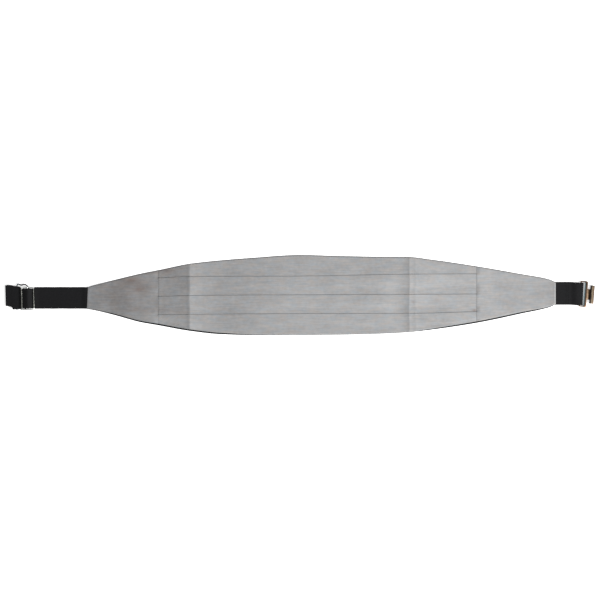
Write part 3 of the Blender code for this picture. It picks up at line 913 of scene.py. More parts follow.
def end_rows(seam, end, slant):
    side = math.copysign(1.0, end - seam)
    start = seam + side * SEAM_GAP / 2
    span = abs(end - start)
    stops = [*NEAR_START, *even(END_MARGIN, span - END_MARGIN, STATION_SPACING)]
    stops += [span - a for a in NEAR_END]
    shares = [*END_EDGE, *(blend(*END_BODY, k / END_STEPS) for k in range(END_STEPS + 1))]
    shares += [1 - share for share in reversed(END_EDGE)]
    rows = []
    for away in stops:
        settled = 1 - ease(away / SEAM_RISE_RUN)
        stepped = 1 - ease(away / STEP_RUN)
        over_strap = ease((away - (span - STRAP_COVER - STRAP_RISE_RUN)) / STRAP_RISE_RUN)
        rolled = max(1 - (span - away) / END_ROLL, 0.0) ** 2
        row = []
        for share in shares:
            station = start + side * away * (1 - slant * (1 - share) / span)
            upper, lower = shell_upper(station), shell_lower(station)
            height = blend(upper, lower, share)
            seam_height = blend(shell_upper(seam), shell_lower(seam), share)
            level = LOW + SEAM_RISE * settled + STRAP_LIFT * over_strap
            level += (front_at_seam(seam, seam_height) - SEAM_RISE) * stepped
            level -= edge_drop(min(upper - height, height - lower)) + END_DROP * rolled
            row.append((station, height, level + relief(station, height) - seam_dip(station)))
        rows.append(row)
    return rows if side > 0 else rows[::-1]


END_CUTS = {
    "end_panel_left": (LEFT_SEAM, OUTLINE[0].station, LEFT_SLANT, (0.083, 0.107), 0.0062),
    "end_panel_right": (RIGHT_SEAM, OUTLINE[-1].station, 0.0, (0.085, 0.119), 0.0073),
}
for node, (seam, end, slant, flat, area) in END_CUTS.items():
    rows = end_rows(seam, end, slant)
    panel = sheet_of(node.replace("panel", "cloth"), rows, SATIN_WALL, SATIN, grain=None)
    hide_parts(node)
    print(panel.name, len(panel.data.polygons), "faces")

# %% [markdown]
# ## Black ribbed elastic
#
# Both straps are woven elastic, about 33 mm wide and 1 mm thick. Rubber cords run along it under
# a black yarn cover, which shows as fine ribs along its length with short crosswise floats.

# %% Elastic webbing
CORD_SPACING = 0.0011
FLOAT_SPACING = 0.0016
ELASTIC_WALL = 0.9
FLUFF_PER_METRE = 420.0  # tufts, so that each is about 2.4 mm
FLOAT_SHARE = 0.35  # a float stands this high beside a cord


def elastic():
    made, tree = new_material("black ribbed elastic webbing")
    cut = add_node(tree, "ShaderNodeUVMap", uv_map="cut")
    cords, floats = (
        add_node(
            tree,
            "ShaderNodeTexWave",
            {"Vector": cut.outputs[0], "Scale": wave_scale(spacing), "Distortion": 0.4},
            bands_direction=direction,
        )
        for direction, spacing in (("Y", CORD_SPACING), ("X", FLOAT_SPACING))
    )
    fluff = add_node(
        tree,
        "ShaderNodeTexNoise",
        {"Vector": cut.outputs[0], "Scale": FLUFF_PER_METRE, "Detail": 2.0},
    )
    height = add_node(
        tree,
        "ShaderNodeMath",
        {0: floats.outputs["Fac"], 1: FLOAT_SHARE, 2: cords.outputs["Fac"]},
        operation="MULTIPLY_ADD",
    )
    # The raised cords and floats are painted lighter: a painted highlight on the ribs, with painted
    # shade between them.
    painted_crown_light = add_node(
        tree,
        "ShaderNodeMath",
        {0: height.outputs[0], 1: fluff.outputs[0]},
        operation="MULTIPLY",
    )
    colour = add_node(
        tree,
        "ShaderNodeMix",
        {"Factor": painted_crown_light.outputs[0], "A": hex_colour("#080809"), "B": hex_colour("#1e1e20")},
        data_type="RGBA",
    )
    bump = add_node(
        tree,
        "ShaderNodeBump",
        {"Height": height.outputs[0], "Strength": 0.7, "Distance": 0.00012},
    )
    shader = add_node(
        tree,
        "ShaderNodeBsdfPrincipled",
        {
            "Base Color": colour.outputs["Result"],
            "Roughness": 0.85,
            "Specular IOR Level": 0.15,
            "Normal": bump.outputs[0],
        },
    )
    add_node(tree, "ShaderNodeOutputMaterial", {"Surface": shader.outputs[0]})
    return made


ELASTIC = elastic()
print("made", ELASTIC.name)

# %% [markdown]
# ## The left strap
#
# It leaves the body, passes under the slide's right bar, over its middle bar and under its left
# bar, turns round the eye, and runs back under itself to the middle bar, where it is sewn. A
# strap like this is a path seen from the side plus an edge table seen from above. Together they
# give every point, and the path goes round each wire with a little room.

# %% Path of the left strap
CLEARANCE = 0.3
STRAP_WALL = 1.0  # the wall that the path leaves room for
FLOOR = 0.5
STRAP_LOW = 1.8
STRAP_INSET = 13.0
SLIDE_WIRE = 2.0
SLIDE_CENTRE = Vector((-408.5, -5.1, 4.8))
SLIDE_LENGTH = 35.0
SLIDE_BAR_REACH = 8.8
SLIDE_BAR_RISE = 1.4
SLIDE_TURN = math.radians(1.6)
EYE_WIRE = 1.8
EYE_BAR = Vector((-425.7, -2.2, 2.2))
LEFT_FOLD = -442.1
LEFT_TURN = 1.25
TAIL_END = -421.3
LEAVING = math.radians(183)
WEAVE_SPACING = 2.5
DESCENT = 9.0  # past the body's edge the strap comes down to the table over this
RISE_TO_BAR = 8.0  # and rises to the slide's right bar over this
EDGE_POINT = 1.0  # its level part has a point this far inside the body's edge
LEVEL_TO = 0.3  # and ends this far past the edge
PAST_EYE = 1.5  # it comes down from this far past the eye's bar
BEFORE_TURN = 2.0  # to this far before the middle of its turn
RETURN_LOW = (-430.0, -419.2)  # the return lies on the table between these stations
RETURN_RISEN = -413.2  # and has risen to the middle bar at this one

Edges = namedtuple("Edges", "station upper lower")
LEFT_FRONT = (
    Edges(-442.7, 14.6, -16.3),
    Edges(-437.0, 15.2, -17.0),
    Edges(-432.8, 14.9, -17.9),
    Edges(-431.0, 14.5, -21.8),
    Edges(-425.0, 13.2, -21.0),
    Edges(-420.0, 12.6, -20.6),
    Edges(-416.5, 9.8, -20.0),
    Edges(-400.5, 9.8, -20.0),
    Edges(-397.5, 12.0, -20.5),
    Edges(-306.0, 12.0, -20.5),
)
LEFT_RETURN = (
    Edges(-442.7, 14.6, -16.3),
    Edges(-437.0, 14.4, -17.0),
    Edges(-430.0, 13.4, -18.0),
    Edges(-421.0, 11.8, -18.4),
    Edges(-413.0, 9.8, -19.8),
    Edges(-400.5, 9.8, -20.0),
)
LEFT_TAIL = (
    Edges(-422.0, 10.6, -18.4),
    Edges(-417.0, 10.4, -18.5),
    Edges(-413.0, 9.8, -19.8),
    Edges(-400.5, 9.8, -20.0),
)


def bend(centre, radius, start, end, steps):
    """Points round a centre, from one heading to another. A negative radius turns to the right."""
    points = []
    for k in range(steps + 1):
        heading = blend(start, end, k / steps)
        points.append(centre - radius * Vector((-math.sin(heading), math.cos(heading))))
    return points


def eased_line(start, end, steps=6):
    """Points from start to end, level at both."""
    return [
        Vector((blend(start.x, end.x, k / steps), blend(start.y, end.y, ease(k / steps))))
        for k in range(steps + 1)
    ]


def filled_in(points, spacing):
    """The same path, with no two points further apart than spacing."""
    found = [points[0]]
    for a, b in zip(points, points[1:]):
        parts = max(1, math.ceil((b - a).length / spacing))
        found += [a.lerp(b, k / parts) for k in range(1, parts + 1)]
    return found


def left_paths():
    """The strap's side view as three runs: front, return and tail."""
    middle_bar = Vector((SLIDE_CENTRE.x, SLIDE_CENTRE.z))
    to_left_bar = Vector((-SLIDE_BAR_REACH, SLIDE_BAR_RISE))
    right_bar, left_bar = middle_bar - to_left_bar, middle_bar + to_left_bar
    touch = SLIDE_WIRE / 2 + CLEARANCE + STRAP_WALL / 2
    over = touch + STRAP_WALL + CLEARANCE
    tilt = math.atan2(to_left_bar.y, to_left_bar.x)
    cross = math.asin((touch + over) / to_left_bar.length)
    climb, descend = tilt - cross, tilt + cross
    level = math.pi
    edge = OUTLINE[0].station

    front = [Vector((edge + STRAP_INSET, STRAP_LOW)), Vector((edge + EDGE_POINT, STRAP_LOW))]
    front += eased_line(Vector((edge - LEVEL_TO, STRAP_LOW)), Vector((edge - DESCENT, FLOOR)))
    under = Vector((right_bar.x, right_bar.y - touch))
    front += eased_line(Vector((right_bar.x + RISE_TO_BAR, FLOOR)), under)[:-1]
    front += bend(right_bar, -touch, level, climb, 6)
    front += bend(middle_bar, over, climb, descend, 12)
    front += bend(left_bar, -touch, descend, LEAVING, 6)
    turn_centre = Vector((LEFT_FOLD + STRAP_WALL / 2 + LEFT_TURN, FLOOR + LEFT_TURN))
    over_eye = EYE_BAR.z + EYE_WIRE / 2 + CLEARANCE + STRAP_WALL / 2
    crest = Vector((EYE_BAR.x - PAST_EYE, over_eye))
    front += eased_line(crest, turn_centre + Vector((BEFORE_TURN, LEFT_TURN)))

    back = bend(turn_centre, LEFT_TURN, level, 2 * level, 12)
    back += [Vector((RETURN_LOW[0], FLOOR))]
    risen = Vector((RETURN_RISEN, middle_bar.y - touch))
    back += eased_line(Vector((RETURN_LOW[1], FLOOR)), risen)

    tail = bend(middle_bar, touch, 0.0, descend, 18)
    tail += bend(left_bar, -over, descend, LEAVING, 6)
    along = Vector((math.cos(LEAVING), math.sin(LEAVING)))
    tail.append(tail[-1] + along * ((TAIL_END - tail[-1].x) / along.x))
    return [filled_in(path, WEAVE_SPACING) for path in (front, back, tail)]


for run, path in zip(("front", "return", "tail"), left_paths()):
    length = sum((b - a).length for a, b in zip(path, path[1:]))
    print("left strap's", run, round(length, 1), "mm")

# %% [markdown]
# Elastic that has been worn doesn't keep ruler-straight edges, so a little noise moves them.

# %% Left strap
STRAP_COLUMNS = 18
EDGE_WANDER = 0.16
WANDER_LENGTH = 13.0


def ribbon_rows(path, table, turn, pivot):
    """Rows across a ribbon. It leans in plan by a turn about the height of its pivot."""
    rows = []
    for point in path:
        wander = EDGE_WANDER * noise.noise(Vector((point.x / WANDER_LENGTH, 0.0, 9.1)))
        upper = read(table, "upper", point.x) + wander
        lower = read(table, "lower", point.x) + wander
        row = []
        for k in range(STRAP_COLUMNS + 1):
            height = blend(upper, lower, k / STRAP_COLUMNS)
            lean = (height - pivot) * math.sin(turn)
            row.append((point.x - lean, height, point.y))
        rows.append(row)
    return rows


left_rows = []
for path, table in zip(left_paths(), (LEFT_FRONT, LEFT_RETURN, LEFT_TAIL)):
    left_rows += ribbon_rows(path, table, SLIDE_TURN, SLIDE_CENTRE.y)
left_strap = sheet_of("left_elastic", left_rows, ELASTIC_WALL, ELASTIC)
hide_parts("strap_left")
print("left strap:", len(left_rows), "rows")

# %% [markdown]
# ## The right strap
#
# A short piece of the same elastic runs through the hook's slot and is sewn back on itself. Its
# fold isn't square, because the hook pulls on it at an angle, so its two edges have paths of
# their own and every row is drawn between them.

# %% Right strap
HOOK_AXIS = Vector((419.5, 2.0, 2.3))
HOOK_TURN = math.radians(-4.5)
HOOK_BAR = 2.0
SHEET = 1.0
RIGHT_STRAP = (
    Edges(366.0, 19.6, -14.7),
    Edges(405.0, 19.6, -14.7),
    Edges(414.0, 18.8, -15.3),
    Edges(426.0, 18.8, -15.3),
)
RIGHT_FOLDS = {"upper": 424.9, "lower": 423.2}
RIGHT_RETURN_END = 395.0
RIGHT_FLAT_END = 405.0  # the front lies flat as far as this, and then rises to the hook
RIGHT_RISE_END = 415.0
RIGHT_LANDING = 410.0
BAR_ROOM = 0.15


def right_path(fold):
    edge = OUTLINE[-1].station
    turn = math.hypot(HOOK_BAR, SHEET) / 2 + BAR_ROOM + STRAP_WALL / 2
    centre = Vector((fold - STRAP_WALL / 2 - turn, HOOK_AXIS.z))
    path = [Vector((edge - STRAP_INSET * (1 - k / 6), STRAP_LOW)) for k in range(7)]
    path += [Vector((blend(edge, RIGHT_FLAT_END, k / 9), STRAP_LOW)) for k in range(1, 9)]
    rising = Vector((RIGHT_FLAT_END, STRAP_LOW)), Vector((RIGHT_RISE_END, HOOK_AXIS.z + turn))
    path += eased_line(*rising, 8)
    path += bend(centre, -turn, 0.0, -math.pi, 14)
    landing = Vector((RIGHT_LANDING, HOOK_AXIS.z - turn))
    path += [landing.lerp(Vector((RIGHT_RETURN_END, FLOOR)), k / 6) for k in range(7)]
    return path


right_rows = []
steps = range(STRAP_COLUMNS + 1)
for high, low in zip(right_path(RIGHT_FOLDS["upper"]), right_path(RIGHT_FOLDS["lower"])):
    top = Vector((high.x, read(RIGHT_STRAP, "upper", high.x), high.y))
    bottom = Vector((low.x, read(RIGHT_STRAP, "lower", low.x), low.y))
    right_rows.append([tuple(top.lerp(bottom, k / STRAP_COLUMNS)) for k in steps])
right_strap = sheet_of("right_elastic", right_rows, ELASTIC_WALL, ELASTIC)
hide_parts("strap_right")
print("right strap:", len(right_rows), "rows")

# %% [markdown]
# ## Nickel-plated wire
#
# The slide and the eye are steel wire, bent and nickel plated. Plating is smooth. The slide's bars
# are a dull grey, and its rails are painted near white, a painted highlight along them. The eye's
# plating has tarnished: dark brown along the loop, and blue-grey at its outer corner. Both are one
# recipe with two colours, which change over at a distance from a given place.

# %% Nickel plate
WEAR_PER_METRE = 260.0  # patches, so that each is about 4 mm
Change = namedtuple("Change", "axis middle start end")


def nickel_plate(name, dark, light, far, change, metallic):
    """Plated wire. Past a change, measured along an axis from its middle, it is the far colour."""
    made, tree = new_material(name)
    place = add_node(tree, "ShaderNodeTexCoord")
    wear = add_node(
        tree,
        "ShaderNodeTexNoise",
        {
            "Vector": place.outputs["Object"],
            "Scale": WEAR_PER_METRE,
            "Detail": 3.0,
            "Roughness": 0.6,
        },
    )
    parts = add_node(tree, "ShaderNodeSeparateXYZ", {0: place.outputs["Object"]})
    offset = add_node(
        tree,
        "ShaderNodeMath",
        {0: parts.outputs[change.axis], 1: change.middle * MM},
        operation="SUBTRACT",
    )
    away = add_node(tree, "ShaderNodeMath", {0: offset.outputs[0]}, operation="ABSOLUTE")
    beyond = add_node(
        tree,
        "ShaderNodeMapRange",
        {"Value": away.outputs[0], 1: change.start * MM, 2: change.end * MM, 3: 0.0, 4: 1.0},
    )
    plate = add_node(
        tree,
        "ShaderNodeMix",
        {"Factor": wear.outputs[0], "A": hex_colour(dark), "B": hex_colour(light)},
        data_type="RGBA",
    )
    colour = add_node(
        tree,
        "ShaderNodeMix",
        {"Factor": beyond.outputs[0], "A": plate.outputs["Result"], "B": hex_colour(far)},
        data_type="RGBA",
    )
    roughness = add_node(
        tree,
        "ShaderNodeMapRange",
        {"Value": wear.outputs[0], 1: 0.3, 2: 0.7, 3: 0.18, 4: 0.38},
    )
    bump = add_node(
        tree,
        "ShaderNodeBump",
        {"Height": wear.outputs[0], "Strength": 0.05, "Distance": 0.0001},
    )
    shader = add_node(
        tree,
        "ShaderNodeBsdfPrincipled",
        {
            "Base Color": colour.outputs["Result"],
            "Metallic": metallic,
            "Specular IOR Level": 0.3,
            "Roughness": roughness.outputs[0],
            "Normal": bump.outputs[0],
        },
    )
    add_node(tree, "ShaderNodeOutputMaterial", {"Surface": shader.outputs[0]})
    return made


# The slide's rails take the near-white far colour, a painted highlight.
TO_PAINTED_RAIL_HIGHLIGHT = Change(axis=1, middle=SLIDE_CENTRE.y, start=14.4, end=15.6)
TO_CORNER = Change(axis=0, middle=EYE_BAR.x + 20.0, start=13.0, end=18.0)
NICKEL = nickel_plate("nickel-plated steel wire", "#646561", "#7b7c77", "#dcdedc", TO_PAINTED_RAIL_HIGHLIGHT, 1.0)
TARNISHED = nickel_plate("tarnished nickel wire", "#0b0907", "#1d1916", "#344347", TO_CORNER, 0.1)
print("made", NICKEL.name, "and", TARNISHED.name)

# %% [markdown]
# ## The slide
#
# The slide is a wire oblong with a bar across its middle. As by hand: a plane the size of the
# oblong gets round corners from a vertex bevel, loses its face, and its outline becomes a curve
# that is given the wire's thickness. The middle bar is a cylinder whose ends flare into the
# rails, as solder does.

# %% Wire tools
WIRE_RESOLUTION = 6  # a curve's bevel resolution
SMOOTH_ANGLE = math.radians(40)


def wire_from_edges(piece, wire):
    """Turns a loop of edges into a curve as thick as the wire."""
    select_only(piece)
    bpy.ops.object.convert(target="CURVE")
    piece = bpy.context.object
    piece.data.dimensions = "3D"
    piece.data.bevel_depth = wire / 2 * MM
    piece.data.bevel_resolution = WIRE_RESOLUTION
    return piece


def settle(piece, place, finish, body, node):
    """Puts a modelled piece in its place, for good, and dresses it."""
    select_only(piece)
    piece.matrix_world = place @ piece.matrix_world
    bpy.ops.object.transform_apply(location=True, rotation=True, scale=True)
    piece.data.materials.clear()
    piece.data.materials.append(finish)
    bpy.ops.object.shade_smooth_by_angle(angle=SMOOTH_ANGLE)
    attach(piece, body)
    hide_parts(node)


# %% Slide
SLIDE_CORNER = 2.5
BAR_SHARE = 0.95  # the middle bar is a little thinner than the wire
FLARE_CUTS = (0.86, 0.92)  # rings for its flared ends, as shares of the way to a rail
FLARE_START = 0.88
FLARE_RUN = 0.10
FLARE = 0.25
slide_reach = math.hypot(SLIDE_BAR_REACH, SLIDE_BAR_RISE)
slide_half = (SLIDE_LENGTH - SLIDE_WIRE) / 2
bpy.ops.object.select_all(action="DESELECT")
bpy.ops.mesh.primitive_plane_add(size=2.0)
slide = bpy.context.object
slide.scale = (slide_reach * MM, slide_half * MM, 1.0)
bpy.ops.object.transform_apply(location=True, rotation=True, scale=True)
bpy.ops.object.mode_set(mode="EDIT")
bpy.ops.mesh.select_all(action="SELECT")
bpy.ops.mesh.bevel(offset=SLIDE_CORNER * MM, segments=8, affect="VERTICES")
bpy.ops.mesh.select_all(action="SELECT")
bpy.ops.mesh.delete(type="ONLY_FACE")
bpy.ops.object.mode_set(mode="OBJECT")
slide = wire_from_edges(slide, SLIDE_WIRE)
select_only(slide)
bpy.ops.object.convert(target="MESH")
slide = bpy.context.object

bpy.ops.object.select_all(action="DESELECT")
bpy.ops.mesh.primitive_cylinder_add(
    vertices=16,
    radius=SLIDE_WIRE / 2 * MM * BAR_SHARE,
    depth=2 * slide_half * MM,
    rotation=(math.pi / 2, 0.0, 0.0),
)
bar = bpy.context.object
bpy.ops.object.transform_apply(location=True, rotation=True, scale=True)
bpy.ops.object.mode_set(mode="EDIT")
for share in FLARE_CUTS:
    for side in (1, -1):
        bpy.ops.mesh.select_all(action="SELECT")
        bpy.ops.mesh.bisect(plane_co=(0.0, side * slide_half * share * MM, 0.0), plane_no=(0, 1, 0))
bpy.ops.object.mode_set(mode="OBJECT")
for vert in bar.data.vertices:
    beyond = abs(vert.co.y) / MM / slide_half
    swell = 1.0 + FLARE * ease((beyond - FLARE_START) / FLARE_RUN)
    vert.co.x *= swell
    vert.co.z *= swell
select_only(slide)
bar.select_set(True)
bpy.ops.object.join()
slide.name = "wire_slide"
slide_place = (
    Matrix.Translation(SLIDE_CENTRE * MM)
    @ Matrix.Rotation(SLIDE_TURN, 4, "Z")
    @ Matrix.Rotation(math.atan2(SLIDE_BAR_RISE, SLIDE_BAR_REACH), 4, "Y")
)
settle(slide, slide_place, NICKEL, "garment", "slide")
print("slide:", len(slide.data.polygons), "faces")

# %% [markdown]
# ## The eye
#
# The hook's partner is a loop of thinner wire with one straight bar, bent by hand tools, so its
# shoulders are a little uneven. A circle with one vertex for each bend is pulled to the bends'
# places, and automatic handles draw the wire smoothly through them.

# %% Eye
EYE_FAR_HEIGHT = EYE_WIRE / 2
EYE_TURN = math.radians(-3.5)
BEND_STEPS = 6  # the wire's steps from one bend to the next
Stirrup = namedtuple("Stirrup", "along half")
STIRRUP = (
    Stirrup(0.0, 16.6),
    Stirrup(1.0, 18.7),
    Stirrup(3.2, 18.6),
    Stirrup(6.3, 17.6),
    Stirrup(10.0, 19.0),
    Stirrup(13.6, 18.2),
    Stirrup(16.6, 15.0),
    Stirrup(19.3, 9.5),
    Stirrup(20.6, 3.2),
)
bends = [(row.along, row.half) for row in STIRRUP]
bends += [(row.along, -row.half) for row in reversed(STIRRUP)]
bpy.ops.object.select_all(action="DESELECT")
bpy.ops.mesh.primitive_circle_add(vertices=len(bends), radius=20 * MM)
eye = bpy.context.object
for vert, (along, half) in zip(eye.data.vertices, bends):
    vert.co = Vector((along, half, 0.0)) * MM
eye = wire_from_edges(eye, EYE_WIRE)
bpy.ops.object.mode_set(mode="EDIT")
bpy.ops.curve.select_all(action="SELECT")
bpy.ops.curve.spline_type_set(type="BEZIER")
bpy.ops.curve.handle_type_set(type="AUTOMATIC")
bpy.ops.object.mode_set(mode="OBJECT")
eye.data.resolution_u = BEND_STEPS
select_only(eye)
bpy.ops.object.convert(target="MESH")
eye = bpy.context.object
eye.name = "wire_eye"
eye_place = (
    Matrix.Translation(EYE_BAR * MM)
    @ Matrix.Rotation(EYE_TURN, 4, "Z")
    @ Matrix.Rotation(math.atan2(EYE_BAR.z - EYE_FAR_HEIGHT, STIRRUP[-1].along), 4, "Y")
)
settle(eye, eye_place, TARNISHED, "garment", "eye")
print("eye:", len(eye.data.polygons), "faces")

# %% [markdown]
# ## Washed brass
#
# The hook is stamped from brass sheet and washed with a thin coat of nickel, worn to brown brass on
# the neck, leaf and arms. Bands along the hook give each stretch its own colour, and some bands are
# painted light and shade: the nickel wash along the frame beside the elastic is painted blue-silver
# as a highlight, the frame's outer rim beside the neck has painted shade, the leaf's free edge has
# a painted shadow under it, and the leaf's fold has painted shade where it curves down.

# %% Brass
HOOK_LENGTH = 24.0
TARNISH_PER_METRE = 320.0  # patches, so that each is about 3 mm
RAGGED = 0.0022  # how far, in metres, the borders of the bands can move
ARMS_START = 0.0168  # this far from the middle, in metres, the worn arms begin
ARMS_END = 0.0178
Band = namedtuple("Band", "along colour")
HOOK_BANDS_AND_PAINTED_LIGHT = (
    Band(0.0, "#4a3a2d"),
    Band(3.6, "#6b5c4c"),
    # painted highlight on the nickel wash: the blue-silver strip along the frame
    Band(5.2, "#8d9da1"),
    Band(7.4, "#7f8f93"),
    # painted shade on the frame's outer rim, where its crown slopes down to the neck
    Band(8.8, "#2e2721"),
    Band(11.0, "#3a2e26"),
    Band(11.8, "#5a4a3b"),
    Band(15.2, "#514336"),
    # painted shadow under the leaf's free edge
    Band(15.8, "#201a19"),
    Band(17.6, "#2a2321"),
    Band(18.3, "#62594c"),
    Band(20.4, "#5a4c3e"),
    # painted shade where the leaf's fold curves down
    Band(21.4, "#3a2e26"),
)


def washed_brass():
    made, tree = new_material("stamped brass, nickel wash and painted light")
    place = add_node(tree, "ShaderNodeTexCoord")
    centred = add_node(
        tree,
        "ShaderNodeMapping",
        {"Vector": place.outputs["Object"], "Location": tuple(-HOOK_AXIS * MM)},
    )
    turned = add_node(
        tree,
        "ShaderNodeMapping",
        {"Vector": centred.outputs[0], "Rotation": (0.0, 0.0, -HOOK_TURN)},
    )
    parts = add_node(tree, "ShaderNodeSeparateXYZ", {0: turned.outputs[0]})
    tarnish = add_node(
        tree,
        "ShaderNodeTexNoise",
        {
            "Vector": place.outputs["Object"],
            "Scale": TARNISH_PER_METRE,
            "Detail": 4.0,
            "Roughness": 0.65,
        },
    )
    ragged = add_node(
        tree,
        "ShaderNodeMath",
        {0: tarnish.outputs[0], 1: RAGGED, 2: parts.outputs[0]},
        operation="MULTIPLY_ADD",
    )
    share = add_node(
        tree,
        "ShaderNodeMapRange",
        {"Value": ragged.outputs[0], 1: 0.0, 2: HOOK_LENGTH * MM, 3: 0.0, 4: 1.0},
    )
    bands = add_node(tree, "ShaderNodeValToRGB", {"Fac": share.outputs[0]})
    ramp = bands.color_ramp
    for band in HOOK_BANDS_AND_PAINTED_LIGHT[2:]:
        ramp.elements.new(band.along / HOOK_LENGTH)
    for element, band in zip(ramp.elements, HOOK_BANDS_AND_PAINTED_LIGHT):
        element.position = band.along / HOOK_LENGTH
        element.color = hex_colour(band.colour)
    away = add_node(tree, "ShaderNodeMath", {0: parts.outputs[1]}, operation="ABSOLUTE")
    worn_arms = add_node(
        tree,
        "ShaderNodeMapRange",
        {"Value": away.outputs[0], 1: ARMS_START, 2: ARMS_END, 3: 0.0, 4: 1.0},
    )
    arms = add_node(
        tree,
        "ShaderNodeMix",
        {"Factor": tarnish.outputs[0], "A": hex_colour("#40332a"), "B": hex_colour("#735c48")},
        data_type="RGBA",
    )
    mixed = add_node(
        tree,
        "ShaderNodeMix",
        {"Factor": worn_arms.outputs[0], "A": bands.outputs[0], "B": arms.outputs["Result"]},
        data_type="RGBA",
    )
    blotch = add_node(
        tree,
        "ShaderNodeMapRange",
        {"Value": tarnish.outputs[0], 1: 0.3, 2: 0.7, 3: 0.78, 4: 1.18},
    )
    colour = add_node(
        tree,
        "ShaderNodeVectorMath",
        {0: mixed.outputs["Result"], "Scale": blotch.outputs[0]},
        operation="SCALE",
    )
    roughness = add_node(
        tree,
        "ShaderNodeMapRange",
        {"Value": tarnish.outputs[0], 1: 0.3, 2: 0.7, 3: 0.34, 4: 0.52},
    )
    bump = add_node(
        tree,
        "ShaderNodeBump",
        {"Height": tarnish.outputs[0], "Strength": 0.12, "Distance": 0.0001},
    )
    shader = add_node(
        tree,
        "ShaderNodeBsdfPrincipled",
        {
            "Base Color": colour.outputs[0],
            "Metallic": 1.0,
            "Roughness": roughness.outputs[0],
            "Normal": bump.outputs[0],
        },
    )
    add_node(tree, "ShaderNodeOutputMaterial", {"Surface": shader.outputs[0]})
    return made


BRASS = washed_brass()
print("made", BRASS.name)

# %% [markdown]
# ## The hook
#
# It is one stamping: a frame with a slot for the elastic, a neck, and a leaf folded back over
# itself. As by hand: a plane is cut into strips, the slot is deleted, the neck is extruded, the
# leaf is a second plane merged to it, and its end is spun over by half a turn. Solidify gives
# the sheet its thickness and a bevel eases the stamped rims.

# %% Hook
HOOK_SLOT_END = 5.5
HOOK_FRAME_END = 10.6
HOOK_HALF = 19.4
HOOK_SLOT_HALF = 17.8
HOOK_CORNER = 1.6
NECK_HALF = 8.4
NECK_WAIST_HALF = 7.7
LEAF_START = 14.7
LEAF_END = 22.15
LEAF_HALF = 13.7
LEAF_FOLD = 1.2
CROWN = 0.45  # the stamped frame is this much higher along its middle
CROWN_MARGINS = (1.2, 1.6)  # which starts and ends this far inside its solid part
CROWN_INSIDE = 1.0  # only what lies further in than this is raised
RIM = 0.22
RIM_ANGLE = math.radians(50)
MERGE = 0.02
PICK_MARGIN = 0.1
TIP_ROOM = 0.05  # the fold stands this far over the table


def sheet_plane(name, u0, u1, half):
    """A flat piece of sheet from u0 to u1, in millimetres, in edit mode with all selected."""
    bpy.ops.object.select_all(action="DESELECT")
    bpy.ops.mesh.primitive_plane_add(size=1.0, location=((u0 + u1) / 2 * MM, 0.0, 0.0))
    piece = bpy.context.object
    piece.name = name
    piece.scale = ((u1 - u0) * MM, 2 * half * MM, 1.0)
    bpy.ops.object.transform_apply(location=True, rotation=True, scale=True)
    bpy.ops.object.mode_set(mode="EDIT")
    return piece


def cut_across(place, direction):
    """Cuts all faces with a plane through a place, in millimetres."""
    bpy.ops.mesh.select_all(action="SELECT")
    bpy.ops.mesh.bisect(plane_co=tuple(Vector(place) * MM), plane_no=direction)


def pick(piece, kind, test):
    """Selects only the verts, edges or faces whose middle passes a test, in millimetres."""
    modes = {"verts": "VERT", "edges": "EDGE", "faces": "FACE"}
    bpy.ops.mesh.select_mode(type=modes[kind])
    bpy.ops.mesh.select_all(action="DESELECT")
    live = bmesh.from_edit_mesh(piece.data)
    for item in getattr(live, kind):
        corners = [item.co] if kind == "verts" else [v.co for v in item.verts]
        item.select_set(test(sum(corners, Vector()) / len(corners) / MM))
    live.select_flush_mode()
    bmesh.update_edit_mesh(piece.data)


hook = sheet_plane("stamped_hook", -HOOK_BAR / 2, HOOK_FRAME_END, HOOK_HALF)
crown_start, crown_end = HOOK_SLOT_END + CROWN_MARGINS[0], HOOK_FRAME_END - CROWN_MARGINS[1]
for u in (HOOK_BAR / 2, HOOK_SLOT_END, crown_start, crown_end):
    cut_across((u, 0, 0), (1, 0, 0))
for v in (HOOK_SLOT_HALF, NECK_HALF):
    cut_across((0, v, 0), (0, 1, 0))
    cut_across((0, -v, 0), (0, 1, 0))
pick(hook, "faces", lambda c: HOOK_BAR / 2 < c.x < HOOK_SLOT_END and abs(c.y) < HOOK_SLOT_HALF)
bpy.ops.mesh.delete(type="FACE")
outer_y, outer_x = HOOK_HALF - PICK_MARGIN, HOOK_FRAME_END - PICK_MARGIN
pick(hook, "verts", lambda c: abs(c.y) > outer_y and not 0 < c.x < outer_x)
bpy.ops.mesh.bevel(offset=HOOK_CORNER * MM, segments=4, affect="VERTICES")
raised_from, raised_to = HOOK_SLOT_END + CROWN_INSIDE, HOOK_FRAME_END - CROWN_INSIDE
pick(hook, "verts", lambda c: raised_from < c.x < raised_to and abs(c.y) < outer_y)
bpy.ops.transform.translate(value=(0.0, 0.0, CROWN * MM))
neck_run = (LEAF_START - HOOK_FRAME_END) / 2
pick(hook, "edges", lambda c: c.x > outer_x and abs(c.y) < NECK_HALF)
for width in (NECK_WAIST_HALF / NECK_HALF, NECK_HALF / NECK_WAIST_HALF):
    bpy.ops.mesh.extrude_edges_move(
        TRANSFORM_OT_translate={"value": (neck_run * MM, 0.0, 0.0)}
    )
    bpy.ops.transform.resize(value=(1.0, width, 1.0), center_override=(0.0, 0.0, 0.0))
bpy.ops.object.mode_set(mode="OBJECT")

